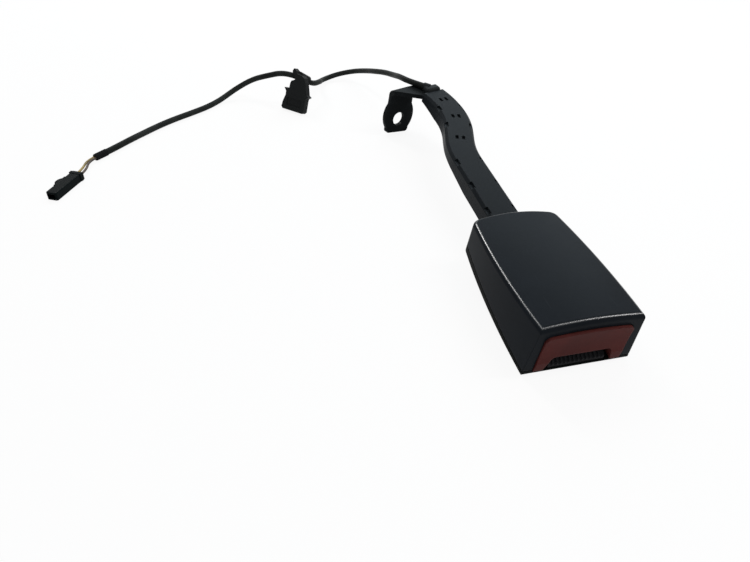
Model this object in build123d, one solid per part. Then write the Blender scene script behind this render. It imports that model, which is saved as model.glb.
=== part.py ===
"""Seat belt buckle on an S-shaped anchor stalk, with its buckle-switch lead.

The model is drawn in the stalk's own frame: X across the buckle, Y from the tongue slot
towards the anchor, Z up, with the steel strap's middle plane at z = 0 and the housing's
front edge at y = 0. The last step leans everything to the pose in which the buckle lies
on a surface, and puts the origin under the middle of the buckle and its stalk.
"""
from build123d import *
import os
from math import atan, cos, degrees, pi, radians, sin, tan

# ---------------------------------------------------------------- housing
HOUSING_LENGTH = 83.0        # front edge to the back corners
HOUSING_BACK_BOW = 2.4       # how far the back edge bows out in its middle
HALF_WIDTH_FRONT = 25.9      # at the strap's plane
HALF_WIDTH_MIDDLE = 27.6
HALF_WIDTH_BACK = 24.6
WIDEST_AT = 40.0
HALF_HEIGHT_FRONT = 15.0
HALF_HEIGHT_BACK = 9.4
CROWN = 1.8                  # how far the cover bulges above its side edges
SIDE_DRAFT = 4.3             # degrees, sides lean inwards towards the top
BACK_CORNER_RADIUS = 5.5
COVER_EDGE_RADIUS = 2.4
WALL = 2.0
FLOOR_WALL = 1.8
SEAM_ABOVE_FLOOR_FRONT = 3.2
SEAM_ABOVE_FLOOR_BACK = 5.2
SEAM_GAP = 0.45
LIP_THICKNESS = 0.8
LIP_HEIGHT = 1.6

# ---------------------------------------------------------------- press button
BUTTON_HALF_WIDTH_BOTTOM = 22.1
BUTTON_HALF_WIDTH_TOP = 21.5
BUTTON_TOP = 9.6             # at its top corners
BUTTON_CROWN = 1.3
BUTTON_BOTTOM = -12.9
BUTTON_PROUD_TOP = 2.4       # how far the face stands out of the housing, at its top
BUTTON_PROUD_BOTTOM = 0.2
BUTTON_DEPTH = 8.0
BUTTON_WALL = 2.4
BUTTON_SCOOP_RADIUS = 90.0
BUTTON_SCOOP_DEPTH = 0.7
BUTTON_TRAVEL = 5.0
BUTTON_CLEARANCE = 0.35
BUTTON_CORNER = 3.0
SLOT_HALF_WIDTH_TOP = 14.8
SLOT_HALF_WIDTH_BOTTOM = 17.7
SLOT_ROOF = -4.2
SLOT_CORNER = 2.4
ARM_THICKNESS = 2.0
ARM_HEIGHT = 5.0
ARM_GAP = 1.0                # between the button's arms and the frame's side walls
LOCK_BAR_RADIUS = 1.8
LOCK_BAR_Y = 34.0
LOCK_BAR_Z = 6.9
PIN_FIT = 0.03

# ---------------------------------------------------------------- steel frame
TONGUE_PLANE = -5.9
TONGUE_THICKNESS = 2.8
TONGUE_CLEARANCE = 0.2
PLATE = 2.0                  # thickness of the frame's steel
FRAME_HALF_WIDTH = 18.2
FRAME_FRONT = 14.5
FRAME_FLAT_END = 47.0
FRAME_WALL_END = 50.0
FRAME_WALL_TOP = 7.2
JOGGLE_LENGTH = 6.0
TAIL_HALF_WIDTH = 8.5
TAIL_END = HOUSING_LENGTH - 3.0
TAIL_LENGTH = TAIL_END - FRAME_FLAT_END - JOGGLE_LENGTH
BRIDGE_Y = 16.5
BRIDGE_THICKNESS = 2.0
RIVET_RADIUS = 0.13 * TAIL_LENGTH
RIVET_HEAD_RADIUS = 0.204 * TAIL_LENGTH
RIVET_HEAD_HEIGHT = 1.8
RIVET_YS = (TAIL_END - 0.74 * TAIL_LENGTH, TAIL_END - 0.26 * TAIL_LENGTH)

# ---------------------------------------------------------------- latch and ejector
LATCH_PIN_Y = 44.0
LATCH_PIN_Z = 0.5
LATCH_PIN_RADIUS = 2.0
LATCH_HUB_RADIUS = 3.6
LATCH_RUNNING = 0.05
LATCH_OPEN_ANGLE = 15.0
LATCH_HALF_WIDTH = 13.0
LATCH_EAR_WIDTH = 5.0
LATCH_PLATE = 2.5
LATCH_FRONT_Y = 21.5
TOOTH_LENGTH = 3.0
TOOTH_HALF_WIDTH = 5.5
TOOTH_BOTTOM = -9.0
WINDOW_CLEARANCE = 1.2
EJECTOR_FRONT = 26.5
EJECTOR_LENGTH = 6.5
EJECTOR_HALF_WIDTH = 7.0
EJECTOR_TRAVEL = 9.0
KEEL_HALF_WIDTH = 2.2
KEEL_CLEARANCE = 0.25
MAGNET_RADIUS = 1.5
MAGNET_LENGTH = 2.5
SPRING_WIRE = 0.3            # radius
EJECTOR_SPRING_RADIUS = 2.0  # mean
EJECTOR_SPRING_TURNS = 6
BUTTON_SPRING_RADIUS = 2.4
BUTTON_SPRING_TURNS = 6
TORSION_SPRING_RADIUS = 2.8
TORSION_SPRING_WIRE = 0.35
TORSION_SPRING_TURNS = 4

# ---------------------------------------------------------------- entry guide
GUIDE_HALF_WIDTH = 14.4
GUIDE_FRONT = 0.6
GUIDE_BACK = 13.6
GUIDE_NOSE_HEIGHT = 1.2
GUIDE_RAMP_LENGTH = 5.4
RIB_COUNT = 14
RIB_WIDTH = 0.8
RIB_PROUD = 0.9

# ---------------------------------------------------------------- strap and anchor tab
STRAP_THICKNESS = 3.0
STRAP_WIDTH = 15.0
STRAP_START = RIVET_YS[0] - RIVET_HEAD_RADIUS - 0.5
S_STRAIGHT_END = 150.0       # y where the first bend starts
S_FIRST_RADIUS = 80.0
S_FIRST_ANGLE = 17.0
S_MIDDLE_RUN = 12.0
S_SECOND_RADIUS = 85.0
S_SECOND_ANGLE = 33.0
S_LAST_RUN = 4.0
TAB_HEADING = -20.0          # degrees, direction in which the strap meets its bend
TAB_BEND_ANGLE = 95.0
TAB_BEND_INNER_RADIUS = 3.0
TAB_TWIST = -8.6             # the tab's outline leans by this much in its own plane
TAB_BEND_START = (-13.9, 246.5)
HOLE_BELOW_BEND = 18.2       # along the tab, from the end of the bend
HOLE_RADIUS = 5.0
TAB_NECK_HALF_WIDTH = 10.2
TAB_WIDE_HALF_WIDTH = 13.0
TAB_FOOT_HALF_WIDTH = 10.1
TAB_FOOT_BELOW_HOLE = 10.4
TAB_FOOT_TOP_BELOW_HOLE = 5.5
TAB_NECK_ABOVE_HOLE = 11.5
TAB_FOOT_CORNER = 2.6

# ---------------------------------------------------------------- sleeve
SLEEVE_WIDTH = 19.0
SLEEVE_TOP = 3.5
SLEEVE_BOTTOM = -7.0
SLEEVE_CHAMFER = 1.6
SLEEVE_START = TAIL_END
SLEEVE_CLEARANCE = 0.15
LEAD_CHANNEL_CLEARANCE = 0.25
COLLAR_WIDTH = 21.0
COLLAR_BOTTOM = -8.3
COLLAR_END = HOUSING_LENGTH + 2.0
SIDE_WINDOW_OFFSET = 8.3
SIDE_WINDOW_LENGTH = 6.0
SIDE_WINDOW_WIDTH = 2.6
FIRST_WINDOW = 97.0
WINDOW_PITCH = 24.6
FAR_WINDOWS = (189.5, 214.0)
MIDDLE_WINDOWS = (173.5, 201.5, 225.5)
MIDDLE_WINDOW_OFFSET = 2.1
MIDDLE_WINDOW_LENGTH = 4.4
MIDDLE_WINDOW_WIDTH = 2.0
WINDOW_DEPTH = 1.3

# ---------------------------------------------------------------- lead
LEAD_RADIUS = 2.1
INNER_LEAD_RADIUS = 2.0
INNER_LEAD_Z = -3.75
CORE_RADIUS = 0.75
CORE_SPACING = 1.7

TOP_SLOPE = (HALF_HEIGHT_FRONT - HALF_HEIGHT_BACK) / HOUSING_LENGTH
TONGUE_TOP = TONGUE_PLANE + TONGUE_THICKNESS / 2
PLATE_TOP = TONGUE_PLANE - TONGUE_THICKNESS / 2 - TONGUE_CLEARANCE
PLATE_BOTTOM = PLATE_TOP - PLATE
CHANNEL_HALF_WIDTH = FRAME_HALF_WIDTH - PLATE
STRAP_HALF = STRAP_THICKNESS / 2
TAIL_TOP = -STRAP_HALF
FAR = 400.0


# ---------------------------------------------------------------- helpers
def block(x0, x1, y0, y1, z0, z1):
    """A box between two opposite corners."""
    return Pos((x0 + x1) / 2, (y0 + y1) / 2, (z0 + z1) / 2) * Box(x1 - x0, y1 - y0, z1 - z0)


def mirrored_pair(shape):
    """A shape and its mirror image across the buckle's middle plane."""
    return shape + mirror(shape, about=Plane.YZ)


def side_profile(points, x0, x1):
    """A polygon drawn in (y, z), as wide as x0 to x1."""
    face = make_face(Polyline(*points, close=True))
    return extrude(Plane.YZ.offset(x0) * face, amount=x1 - x0)


def front_prism(face, y0, y1):
    """A face drawn in (x, z), as deep as y0 to y1."""
    return extrude(Plane(origin=(0, y1, 0), x_dir=(1, 0, 0), z_dir=(0, -1, 0)) * face, amount=y1 - y0)


def plan_prism(face, z0, z1):
    """A face drawn in (x, y), as high as z0 to z1."""
    return extrude(Pos(0, 0, z0) * face, amount=z1 - z0)


def rod(radius, start, end):
    """A round bar from one point to another."""
    way = Vector(*end) - Vector(*start)
    return extrude(Plane(origin=start, z_dir=way) * Circle(radius), amount=way.length)


def coil(mean_radius, wire_radius, length, turns):
    """A compression spring along +Y from the origin, with room for its wire at both ends."""
    height = length - 2 * wire_radius
    path = Helix(pitch=height / turns, height=height, radius=mean_radius)
    section = Plane(origin=path @ 0, z_dir=path % 0) * RegularPolygon(wire_radius, 6)
    return Rot(-90, 0, 0) * Pos(0, 0, wire_radius) * sweep(section, path=path, is_frenet=True)


# ---------------------------------------------------------------- housing
def housing_plan(inset, drop):
    """The housing's outline, `inset` inside its skin, at `drop` below the strap's plane."""
    spread = drop * tan(radians(SIDE_DRAFT)) - inset
    front_y = -8.0
    back_y = HOUSING_LENGTH - inset
    front = HALF_WIDTH_FRONT + spread
    middle = HALF_WIDTH_MIDDLE + spread
    back = HALF_WIDTH_BACK + spread
    lines = [
        Line((-front, front_y), (front, front_y)),
        ThreePointArc((front, front_y), (middle, WIDEST_AT), (back, back_y)),
        ThreePointArc((back, back_y), (0, back_y + HOUSING_BACK_BOW), (-back, back_y)),
        ThreePointArc((-back, back_y), (-middle, WIDEST_AT), (-front, front_y)),
    ]
    face = make_face(lines)
    corners = face.vertices().sort_by(Axis.Y)[-2:]
    return fillet(corners, BACK_CORNER_RADIUS - inset)


def housing_block(inset, floor_inset, front_y):
    """The wedge inside the housing's skin, from `front_y` back."""
    reach = 22.0
    sides = loft([
        Pos(0, 0, -reach) * housing_plan(inset, reach),
        Pos(0, 0, reach) * housing_plan(inset, -reach),
    ], ruled=True)
    tilt = atan(TOP_SLOPE)
    half = HALF_WIDTH_FRONT
    crown_radius = (half ** 2 + CROWN ** 2) / (2 * CROWN)
    axis_z = HALF_HEIGHT_FRONT + CROWN - (crown_radius + inset) / cos(tilt)
    crown = Pos(0, 0, axis_z) * Rot(-90 - degrees(tilt), 0, 0) * Cylinder(crown_radius, FAR)
    low_front = -HALF_HEIGHT_FRONT + floor_inset
    wedge = side_profile([
        (front_y, low_front + front_y * TOP_SLOPE),
        (FAR, low_front + FAR * TOP_SLOPE),
        (FAR, 2 * reach),
        (front_y, 2 * reach),
    ], -FAR, FAR)
    return sides & crown & wedge


def seam_height(y, above=0.0):
    """Height of the parting line between the two shells."""
    front = -HALF_HEIGHT_FRONT + SEAM_ABOVE_FLOOR_FRONT
    back = -HALF_HEIGHT_BACK + SEAM_ABOVE_FLOOR_BACK
    return front + (back - front) * y / HOUSING_LENGTH + above


def below_seam(above=0.0):
    """Everything under the parting line."""
    return side_profile([
        (-20, -40), (120, -40), (120, seam_height(120, above)), (-20, seam_height(-20, above)),
    ], -60, 60)


def button_outline(clearance, crown=BUTTON_CROWN):
    """The button's front outline without its slot, grown by a clearance."""
    low = BUTTON_BOTTOM - clearance
    bottom = BUTTON_HALF_WIDTH_BOTTOM + clearance
    top = BUTTON_HALF_WIDTH_TOP + clearance
    high = BUTTON_TOP + clearance
    face = make_face([
        Line((-bottom, low), (bottom, low)),
        Line((bottom, low), (top, high)),
        ThreePointArc((top, high), (0, high + crown), (-top, high)),
        Line((-top, high), (-bottom, low)),
    ])
    return fillet(face.vertices().group_by(Axis.Y)[-1], BUTTON_CORNER + clearance)


def sleeve_port():
    """The hole in the housing's back wall that the stalk's collar fills."""
    half = COLLAR_WIDTH / 2 + SLEEVE_CLEARANCE
    return block(-half, half, TAIL_END - 2, HOUSING_LENGTH + 10,
                 COLLAR_BOTTOM - SLEEVE_CLEARANCE, SLEEVE_TOP + SLEEVE_CLEARANCE)


def make_housing():
    """Upper and lower shells, split at the parting line with a lip inside it."""
    outer = housing_block(0.0, 0.0, 0.0)
    top = outer.faces().sort_by(Axis.Z)[-1]
    outer = fillet(top.edges(), COVER_EDGE_RADIUS)
    floor = outer.faces().sort_by(Axis.Z)[0]
    outer = fillet(floor.edges(), COVER_EDGE_RADIUS / 2)
    deep = BUTTON_DEPTH + BUTTON_TRAVEL + 0.6
    cavity = housing_block(WALL, FLOOR_WALL, BUTTON_DEPTH + 2.5)
    mouth = front_prism(button_outline(BUTTON_CLEARANCE), -5, deep)
    shell = outer - cavity - mouth - sleeve_port()
    band = below_seam(LIP_HEIGHT) - below_seam()
    lip_ring = housing_block(WALL - LIP_THICKNESS, FLOOR_WALL, deep + 0.8) \
        - housing_block(WALL, FLOOR_WALL, deep - 1)
    rebate = housing_block(WALL - LIP_THICKNESS - 0.15, FLOOR_WALL, deep + 0.6)
    upper = shell - below_seam() - (rebate & (below_seam(LIP_HEIGHT + 0.2)))
    lower = (shell & below_seam(-SEAM_GAP)) + (lip_ring & below_seam(LIP_HEIGHT)
                                                & (below_seam(99) - below_seam(-1.0)) - sleeve_port())
    return upper, lower


# ---------------------------------------------------------------- press button and lock bar
ARM_OUTER = FRAME_HALF_WIDTH + ARM_GAP + ARM_THICKNESS
ARM_BOTTOM = LOCK_BAR_Z - LOCK_BAR_RADIUS - 4.2


def make_press_button():
    """The button's arched face, hollow behind, and its two arms with the lock bar's ears."""
    slot = make_face(Polyline(
        (-SLOT_HALF_WIDTH_BOTTOM, BUTTON_BOTTOM - 1), (SLOT_HALF_WIDTH_BOTTOM, BUTTON_BOTTOM - 1),
        (SLOT_HALF_WIDTH_TOP, SLOT_ROOF), (-SLOT_HALF_WIDTH_TOP, SLOT_ROOF), close=True))
    slot = fillet(slot.vertices().group_by(Axis.Y)[-1], SLOT_CORNER)
    front = -BUTTON_PROUD_TOP - 1
    body = front_prism(button_outline(0) - slot, front, BUTTON_DEPTH)
    high = BUTTON_TOP + BUTTON_CROWN
    face_plane = side_profile([
        (-BUTTON_PROUD_BOTTOM, BUTTON_BOTTOM - 2), (-BUTTON_PROUD_TOP, high + 1), (FAR, high + 1),
        (FAR, BUTTON_BOTTOM - 2),
    ], -FAR, FAR)
    middle_proud = (BUTTON_PROUD_TOP + BUTTON_PROUD_BOTTOM) / 2
    scoop_y = -middle_proud + BUTTON_SCOOP_DEPTH - BUTTON_SCOOP_RADIUS
    scoop = Pos(0, scoop_y, (high + BUTTON_BOTTOM) / 2) * Rot(0, 90, 0) * Cylinder(BUTTON_SCOOP_RADIUS, FAR)
    body = (body & face_plane) - scoop
    pocket_half = min(BUTTON_HALF_WIDTH_TOP, BUTTON_HALF_WIDTH_BOTTOM) - BUTTON_WALL
    pocket = block(-pocket_half, pocket_half,
                   BUTTON_WALL - 0.6, BUTTON_DEPTH + 1, SLOT_ROOF + 2, BUTTON_TOP - BUTTON_WALL)
    spring_pin = rod(BUTTON_SPRING_RADIUS - SPRING_WIRE - 0.4, (0, BUTTON_WALL - 0.7, SPRING_AXIS_Z),
                     (0, BUTTON_DEPTH - 1, SPRING_AXIS_Z))
    arm_back = LOCK_BAR_Y + LOCK_BAR_RADIUS + 2.2
    arm = block(ARM_OUTER - ARM_THICKNESS, ARM_OUTER, BUTTON_DEPTH - 2, arm_back,
                ARM_BOTTOM, ARM_BOTTOM + ARM_HEIGHT)
    ear = block(ARM_OUTER - ARM_THICKNESS, ARM_OUTER, LOCK_BAR_Y - LOCK_BAR_RADIUS - 2.2, arm_back,
                ARM_BOTTOM, LOCK_BAR_Z + LOCK_BAR_RADIUS + 1.4)
    bore = rod(LOCK_BAR_RADIUS + PIN_FIT, (0, LOCK_BAR_Y, LOCK_BAR_Z), (FAR, LOCK_BAR_Y, LOCK_BAR_Z))
    return body - pocket + spring_pin + mirrored_pair(arm + ear - bore)


def make_lock_bar():
    """The steel bar across the frame that holds the latch down until the button is pressed."""
    bar = rod(LOCK_BAR_RADIUS, (-ARM_OUTER, LOCK_BAR_Y, LOCK_BAR_Z), (ARM_OUTER, LOCK_BAR_Y, LOCK_BAR_Z))
    ends = bar.faces().sort_by(Axis.X)
    return chamfer(ends[0].edges() + ends[-1].edges(), 0.3)


# ---------------------------------------------------------------- frame
def make_base_frame():
    """A channel of folded steel: floor, two side walls, a joggle up to the strap and a tail."""
    flat = block(-FRAME_HALF_WIDTH, FRAME_HALF_WIDTH, FRAME_FRONT, FRAME_FLAT_END, PLATE_BOTTOM, PLATE_TOP)
    joggle_end = FRAME_FLAT_END + JOGGLE_LENGTH
    tail_bottom = TAIL_TOP - PLATE
    tail = side_profile([
        (FRAME_FLAT_END - 1, PLATE_BOTTOM), (FRAME_FLAT_END - 1, PLATE_TOP), (FRAME_FLAT_END - 0.3, PLATE_TOP),
        (joggle_end - 0.7, TAIL_TOP), (TAIL_END, TAIL_TOP), (TAIL_END, tail_bottom),
        (joggle_end, tail_bottom), (FRAME_FLAT_END + 0.4, PLATE_BOTTOM),
    ], -TAIL_HALF_WIDTH, TAIL_HALF_WIDTH)
    wall = side_profile([
        (FRAME_FRONT, PLATE_BOTTOM), (FRAME_FRONT, 1.0), (FRAME_FRONT + 3, FRAME_WALL_TOP - 1),
        (FRAME_FRONT + 5, FRAME_WALL_TOP), (FRAME_WALL_END - 5, FRAME_WALL_TOP),
        (FRAME_WALL_END, FRAME_WALL_TOP - 6), (FRAME_WALL_END, PLATE_BOTTOM + 4),
        (FRAME_WALL_END - 3.5, PLATE_BOTTOM),
    ], CHANNEL_HALF_WIDTH, FRAME_HALF_WIDTH)
    gap = LOCK_BAR_RADIUS + BUTTON_CLEARANCE
    notch = block(0, FAR, LOCK_BAR_Y - gap, LOCK_BAR_Y + BUTTON_TRAVEL + gap, LOCK_BAR_Z - gap, FAR)
    pin_hole = rod(LATCH_PIN_RADIUS + PIN_FIT, (0, LATCH_PIN_Y, LATCH_PIN_Z), (FAR, LATCH_PIN_Y, LATCH_PIN_Z))
    bridge_slot = block(0, FAR, BRIDGE_Y - PIN_FIT, BRIDGE_Y + BRIDGE_THICKNESS + PIN_FIT,
                        BRIDGE_LUG_BOTTOM - PIN_FIT, BRIDGE_LUG_TOP + PIN_FIT)
    walls = mirrored_pair(wall - notch - pin_hole - bridge_slot)
    tooth_window = block(-TOOTH_HALF_WIDTH - WINDOW_CLEARANCE, TOOTH_HALF_WIDTH + WINDOW_CLEARANCE,
                         LATCH_FRONT_Y - WINDOW_CLEARANCE, LATCH_FRONT_Y + TOOTH_LENGTH + WINDOW_CLEARANCE,
                         PLATE_BOTTOM - 1, PLATE_TOP + 1)
    keel_half = KEEL_HALF_WIDTH + KEEL_CLEARANCE
    keel_slot = block(-keel_half, keel_half, EJECTOR_FRONT + 0.6,
                      EJECTOR_FRONT + EJECTOR_LENGTH + EJECTOR_TRAVEL + 1, PLATE_BOTTOM - 1, PLATE_TOP + 1)
    seat_lug = block(-3.4, 3.4, SPRING_SEAT_Y, SPRING_SEAT_Y + 1.5, PLATE_TOP - 0.5, SPRING_SEAT_TOP)
    frame = flat + tail + walls - tooth_window - keel_slot + seat_lug
    for y in RIVET_YS:
        frame -= rod(RIVET_RADIUS + PIN_FIT, (0, y, -10), (0, y, 0))
    return frame


SPRING_AXIS_Z = 3.4
SPRING_SEAT_Y = EJECTOR_FRONT + EJECTOR_LENGTH + EJECTOR_TRAVEL + 5.2
SPRING_SEAT_TOP = -2.6
BRIDGE_LUG_BOTTOM = 1.0
BRIDGE_LUG_TOP = 5.0


def make_cross_bridge():
    """A steel bridge between the side walls, which the button's spring pushes against."""
    half = CHANNEL_HALF_WIDTH - 0.1
    plate = block(-half, half, BRIDGE_Y, BRIDGE_Y + BRIDGE_THICKNESS, TONGUE_TOP + 0.6, FRAME_WALL_TOP - 0.6)
    corners = plate.edges().filter_by(Axis.Y)
    plate = fillet(corners, 1.5)
    lugs = block(-FRAME_HALF_WIDTH, FRAME_HALF_WIDTH, BRIDGE_Y, BRIDGE_Y + BRIDGE_THICKNESS,
                 BRIDGE_LUG_BOTTOM, BRIDGE_LUG_TOP)
    return plate + lugs


def make_rivets():
    """Two steel rivets that fasten the frame's tail under the strap."""
    low = TAIL_TOP - PLATE
    rivets = []
    for y in RIVET_YS:
        shank = rod(RIVET_RADIUS, (0, y, low), (0, y, STRAP_HALF))
        top = rod(RIVET_HEAD_RADIUS, (0, y, STRAP_HALF), (0, y, STRAP_HALF + RIVET_HEAD_HEIGHT))
        foot = rod(RIVET_HEAD_RADIUS, (0, y, low - RIVET_HEAD_HEIGHT), (0, y, low))
        top = fillet(top.edges().sort_by(Axis.Z)[-1], RIVET_HEAD_HEIGHT * 0.6)
        foot = fillet(foot.edges().sort_by(Axis.Z)[0], RIVET_HEAD_HEIGHT * 0.6)
        rivets.append(shank + top + foot)
    return rivets


# ---------------------------------------------------------------- latch
def opened(shape):
    """A latch shape drawn locked, turned about its pin to where it rests without a tongue."""
    return Pos(0, LATCH_PIN_Y, LATCH_PIN_Z) * Rot(-LATCH_OPEN_ANGLE, 0, 0) \
        * Pos(0, -LATCH_PIN_Y, -LATCH_PIN_Z) * shape


def make_latch():
    """The steel latch: a plate with a tooth at its front and two eyes on the pin."""
    top = LATCH_PIN_Z + 0.5
    bottom = top - LATCH_PLATE
    plate = block(-LATCH_HALF_WIDTH, LATCH_HALF_WIDTH, LATCH_FRONT_Y, LATCH_PIN_Y - LATCH_HUB_RADIUS, bottom, top)
    plate = fillet(plate.edges().filter_by(Axis.Z).sort_by(Axis.Y)[:2], 3.0)
    tooth = side_profile([
        (LATCH_FRONT_Y, top - 0.5), (LATCH_FRONT_Y, TOOTH_BOTTOM + 1.2), (LATCH_FRONT_Y + 0.8, TOOTH_BOTTOM),
        (LATCH_FRONT_Y + TOOTH_LENGTH, TOOTH_BOTTOM), (LATCH_FRONT_Y + TOOTH_LENGTH, top - 0.5),
    ], -TOOTH_HALF_WIDTH, TOOTH_HALF_WIDTH)
    ear_inner = LATCH_HALF_WIDTH - LATCH_EAR_WIDTH
    hub = rod(LATCH_HUB_RADIUS, (ear_inner, LATCH_PIN_Y, LATCH_PIN_Z), (LATCH_HALF_WIDTH, LATCH_PIN_Y, LATCH_PIN_Z))
    neck = block(ear_inner, LATCH_HALF_WIDTH, LATCH_PIN_Y - LATCH_HUB_RADIUS - 1, LATCH_PIN_Y, bottom, top)
    bore = rod(LATCH_PIN_RADIUS + LATCH_RUNNING, (0, LATCH_PIN_Y, LATCH_PIN_Z), (FAR, LATCH_PIN_Y, LATCH_PIN_Z))
    return opened(plate + tooth + mirrored_pair(hub + neck - bore))


def make_latch_pin():
    """The latch's pin, headed outside the frame's walls."""
    end = FRAME_HALF_WIDTH + 0.05
    axle = rod(LATCH_PIN_RADIUS, (-end, LATCH_PIN_Y, LATCH_PIN_Z), (end, LATCH_PIN_Y, LATCH_PIN_Z))
    head = rod(LATCH_PIN_RADIUS + 0.9, (end, LATCH_PIN_Y, LATCH_PIN_Z), (end + 0.65, LATCH_PIN_Y, LATCH_PIN_Z))
    head = fillet(head.edges().sort_by(Axis.X)[-1], 0.4)
    return axle + mirrored_pair(head)


def make_latch_spring():
    """A torsion spring round the pin, its front leg lying over the latch's plate."""
    length = TORSION_SPRING_TURNS * TORSION_SPRING_WIRE * 2.3 + 2 * TORSION_SPRING_WIRE
    turns = coil(TORSION_SPRING_RADIUS, TORSION_SPRING_WIRE, length, TORSION_SPRING_TURNS)
    return Pos(LATCH_EAR_WIDTH - 1.8, LATCH_PIN_Y, LATCH_PIN_Z) * Rot(0, 0, -90) * turns


# ---------------------------------------------------------------- ejector
def make_ejector():
    """The plastic slider that the tongue pushes back, with its keel and magnet pocket."""
    bottom = PLATE_TOP + 0.15
    top = TONGUE_TOP + 0.6
    back = EJECTOR_FRONT + EJECTOR_LENGTH
    body = block(-EJECTOR_HALF_WIDTH, EJECTOR_HALF_WIDTH, EJECTOR_FRONT, back, bottom, top)
    body = fillet(body.edges().filter_by(Axis.Z), 1.0)
    keel = block(-KEEL_HALF_WIDTH, KEEL_HALF_WIDTH, EJECTOR_FRONT + 1, back - 0.2, PLATE_BOTTOM + 0.3, bottom + 0.5)
    pocket = rod(MAGNET_RADIUS + PIN_FIT, magnet_end(0), magnet_end(MAGNET_LENGTH + 1))
    return body + keel - pocket


def magnet_end(out):
    """A point on the magnet's axis, measured outwards from the pocket's floor."""
    x = EJECTOR_HALF_WIDTH - MAGNET_LENGTH + out
    return (x, EJECTOR_FRONT + EJECTOR_LENGTH / 2, TONGUE_PLANE)


def make_sensor_magnet():
    """The little magnet in the ejector's side, which the buckle switch senses."""
    return rod(MAGNET_RADIUS, magnet_end(0), magnet_end(MAGNET_LENGTH))


def make_ejector_spring():
    """The spring between the ejector and the frame's lug."""
    back = EJECTOR_FRONT + EJECTOR_LENGTH
    spring = coil(EJECTOR_SPRING_RADIUS, SPRING_WIRE, SPRING_SEAT_Y - back, EJECTOR_SPRING_TURNS)
    return Pos(0, back, (PLATE_TOP + SPRING_SEAT_TOP) / 2) * spring


def make_button_spring():
    """The spring that returns the button."""
    front = BUTTON_WALL - 0.6
    spring = coil(BUTTON_SPRING_RADIUS, SPRING_WIRE, BRIDGE_Y - front, BUTTON_SPRING_TURNS)
    return Pos(0, front, SPRING_AXIS_Z) * spring


# ---------------------------------------------------------------- entry guide
def make_entry_guide():
    """The ribbed ramp under the tongue slot."""
    floor = -HALF_HEIGHT_FRONT + FLOOR_WALL + 0.15
    nose = floor + GUIDE_NOSE_HEIGHT
    ramp_top = PLATE_TOP - 0.3
    ramp = side_profile([
        (GUIDE_FRONT, floor + GUIDE_FRONT * TOP_SLOPE), (GUIDE_FRONT, nose),
        (GUIDE_FRONT + GUIDE_RAMP_LENGTH, ramp_top), (GUIDE_BACK, ramp_top),
        (GUIDE_BACK, floor + GUIDE_BACK * TOP_SLOPE),
    ], -GUIDE_HALF_WIDTH, GUIDE_HALF_WIDTH)
    rise = ramp_top - nose
    pitch = (2 * GUIDE_HALF_WIDTH - RIB_WIDTH) / (RIB_COUNT - 1)
    for i in range(RIB_COUNT):
        x = -GUIDE_HALF_WIDTH + i * pitch
        ramp += side_profile([
            (GUIDE_FRONT, nose - 0.4), (GUIDE_FRONT, nose + RIB_PROUD),
            (GUIDE_FRONT + GUIDE_RAMP_LENGTH * (1 - RIB_PROUD / rise), ramp_top),
            (GUIDE_FRONT + GUIDE_RAMP_LENGTH, ramp_top),
        ], x, x + RIB_WIDTH)
    return ramp


# ---------------------------------------------------------------- the stalk's S-shaped path
S_RUNS = (
    (S_STRAIGHT_END, 0.0),
    (S_FIRST_RADIUS * radians(S_FIRST_ANGLE), 1 / S_FIRST_RADIUS),
    (S_MIDDLE_RUN, 0.0),
    (S_SECOND_RADIUS * radians(S_SECOND_ANGLE), -1 / S_SECOND_RADIUS),
    (S_LAST_RUN, 0.0),
)
S_END = sum(length for length, _ in S_RUNS)


def along(s, offset=0.0):
    """The point `s` along the stalk's middle line and `offset` to its right, and its heading."""
    x = y = heading = 0.0
    for length, bend in S_RUNS:
        step = min(s, length)
        if bend:
            turn = step * bend
            x += (cos(heading) - cos(heading + turn)) / bend
            y += (sin(heading + turn) - sin(heading)) / bend
            heading += turn
        else:
            x += step * sin(heading)
            y += step * cos(heading)
        s -= step
        if s <= 1e-9:
            break
    return (x + offset * cos(heading), y - offset * sin(heading)), heading


def side_line(offset, s0, s1):
    """The edges that run beside the stalk's middle line from s0 to s1."""
    edges = []
    start = 0.0
    for length, bend in S_RUNS:
        low, high = max(s0, start), min(s1, start + length)
        if high - low > 1e-6:
            a, b = along(low, offset)[0], along(high, offset)[0]
            middle = along((low + high) / 2, offset)[0]
            edges.append(ThreePointArc(a, middle, b) if bend else Line(a, b))
        start += length
    return edges


def band(half_width, s0, s1, middle=0.0):
    """The plan of a strip beside or along the stalk's middle line."""
    left, right = middle - half_width, middle + half_width
    ends = [Line(along(s, left)[0], along(s, right)[0]) for s in (s0, s1)]
    return make_face(side_line(left, s0, s1) + side_line(right, s0, s1) + ends)


def on_stalk(s, shape):
    """A shape drawn at the origin facing +Y, put on the stalk at `s`."""
    (x, y), heading = along(s)
    return Pos(x, y, 0) * Rot(0, 0, -degrees(heading)) * shape


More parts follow.
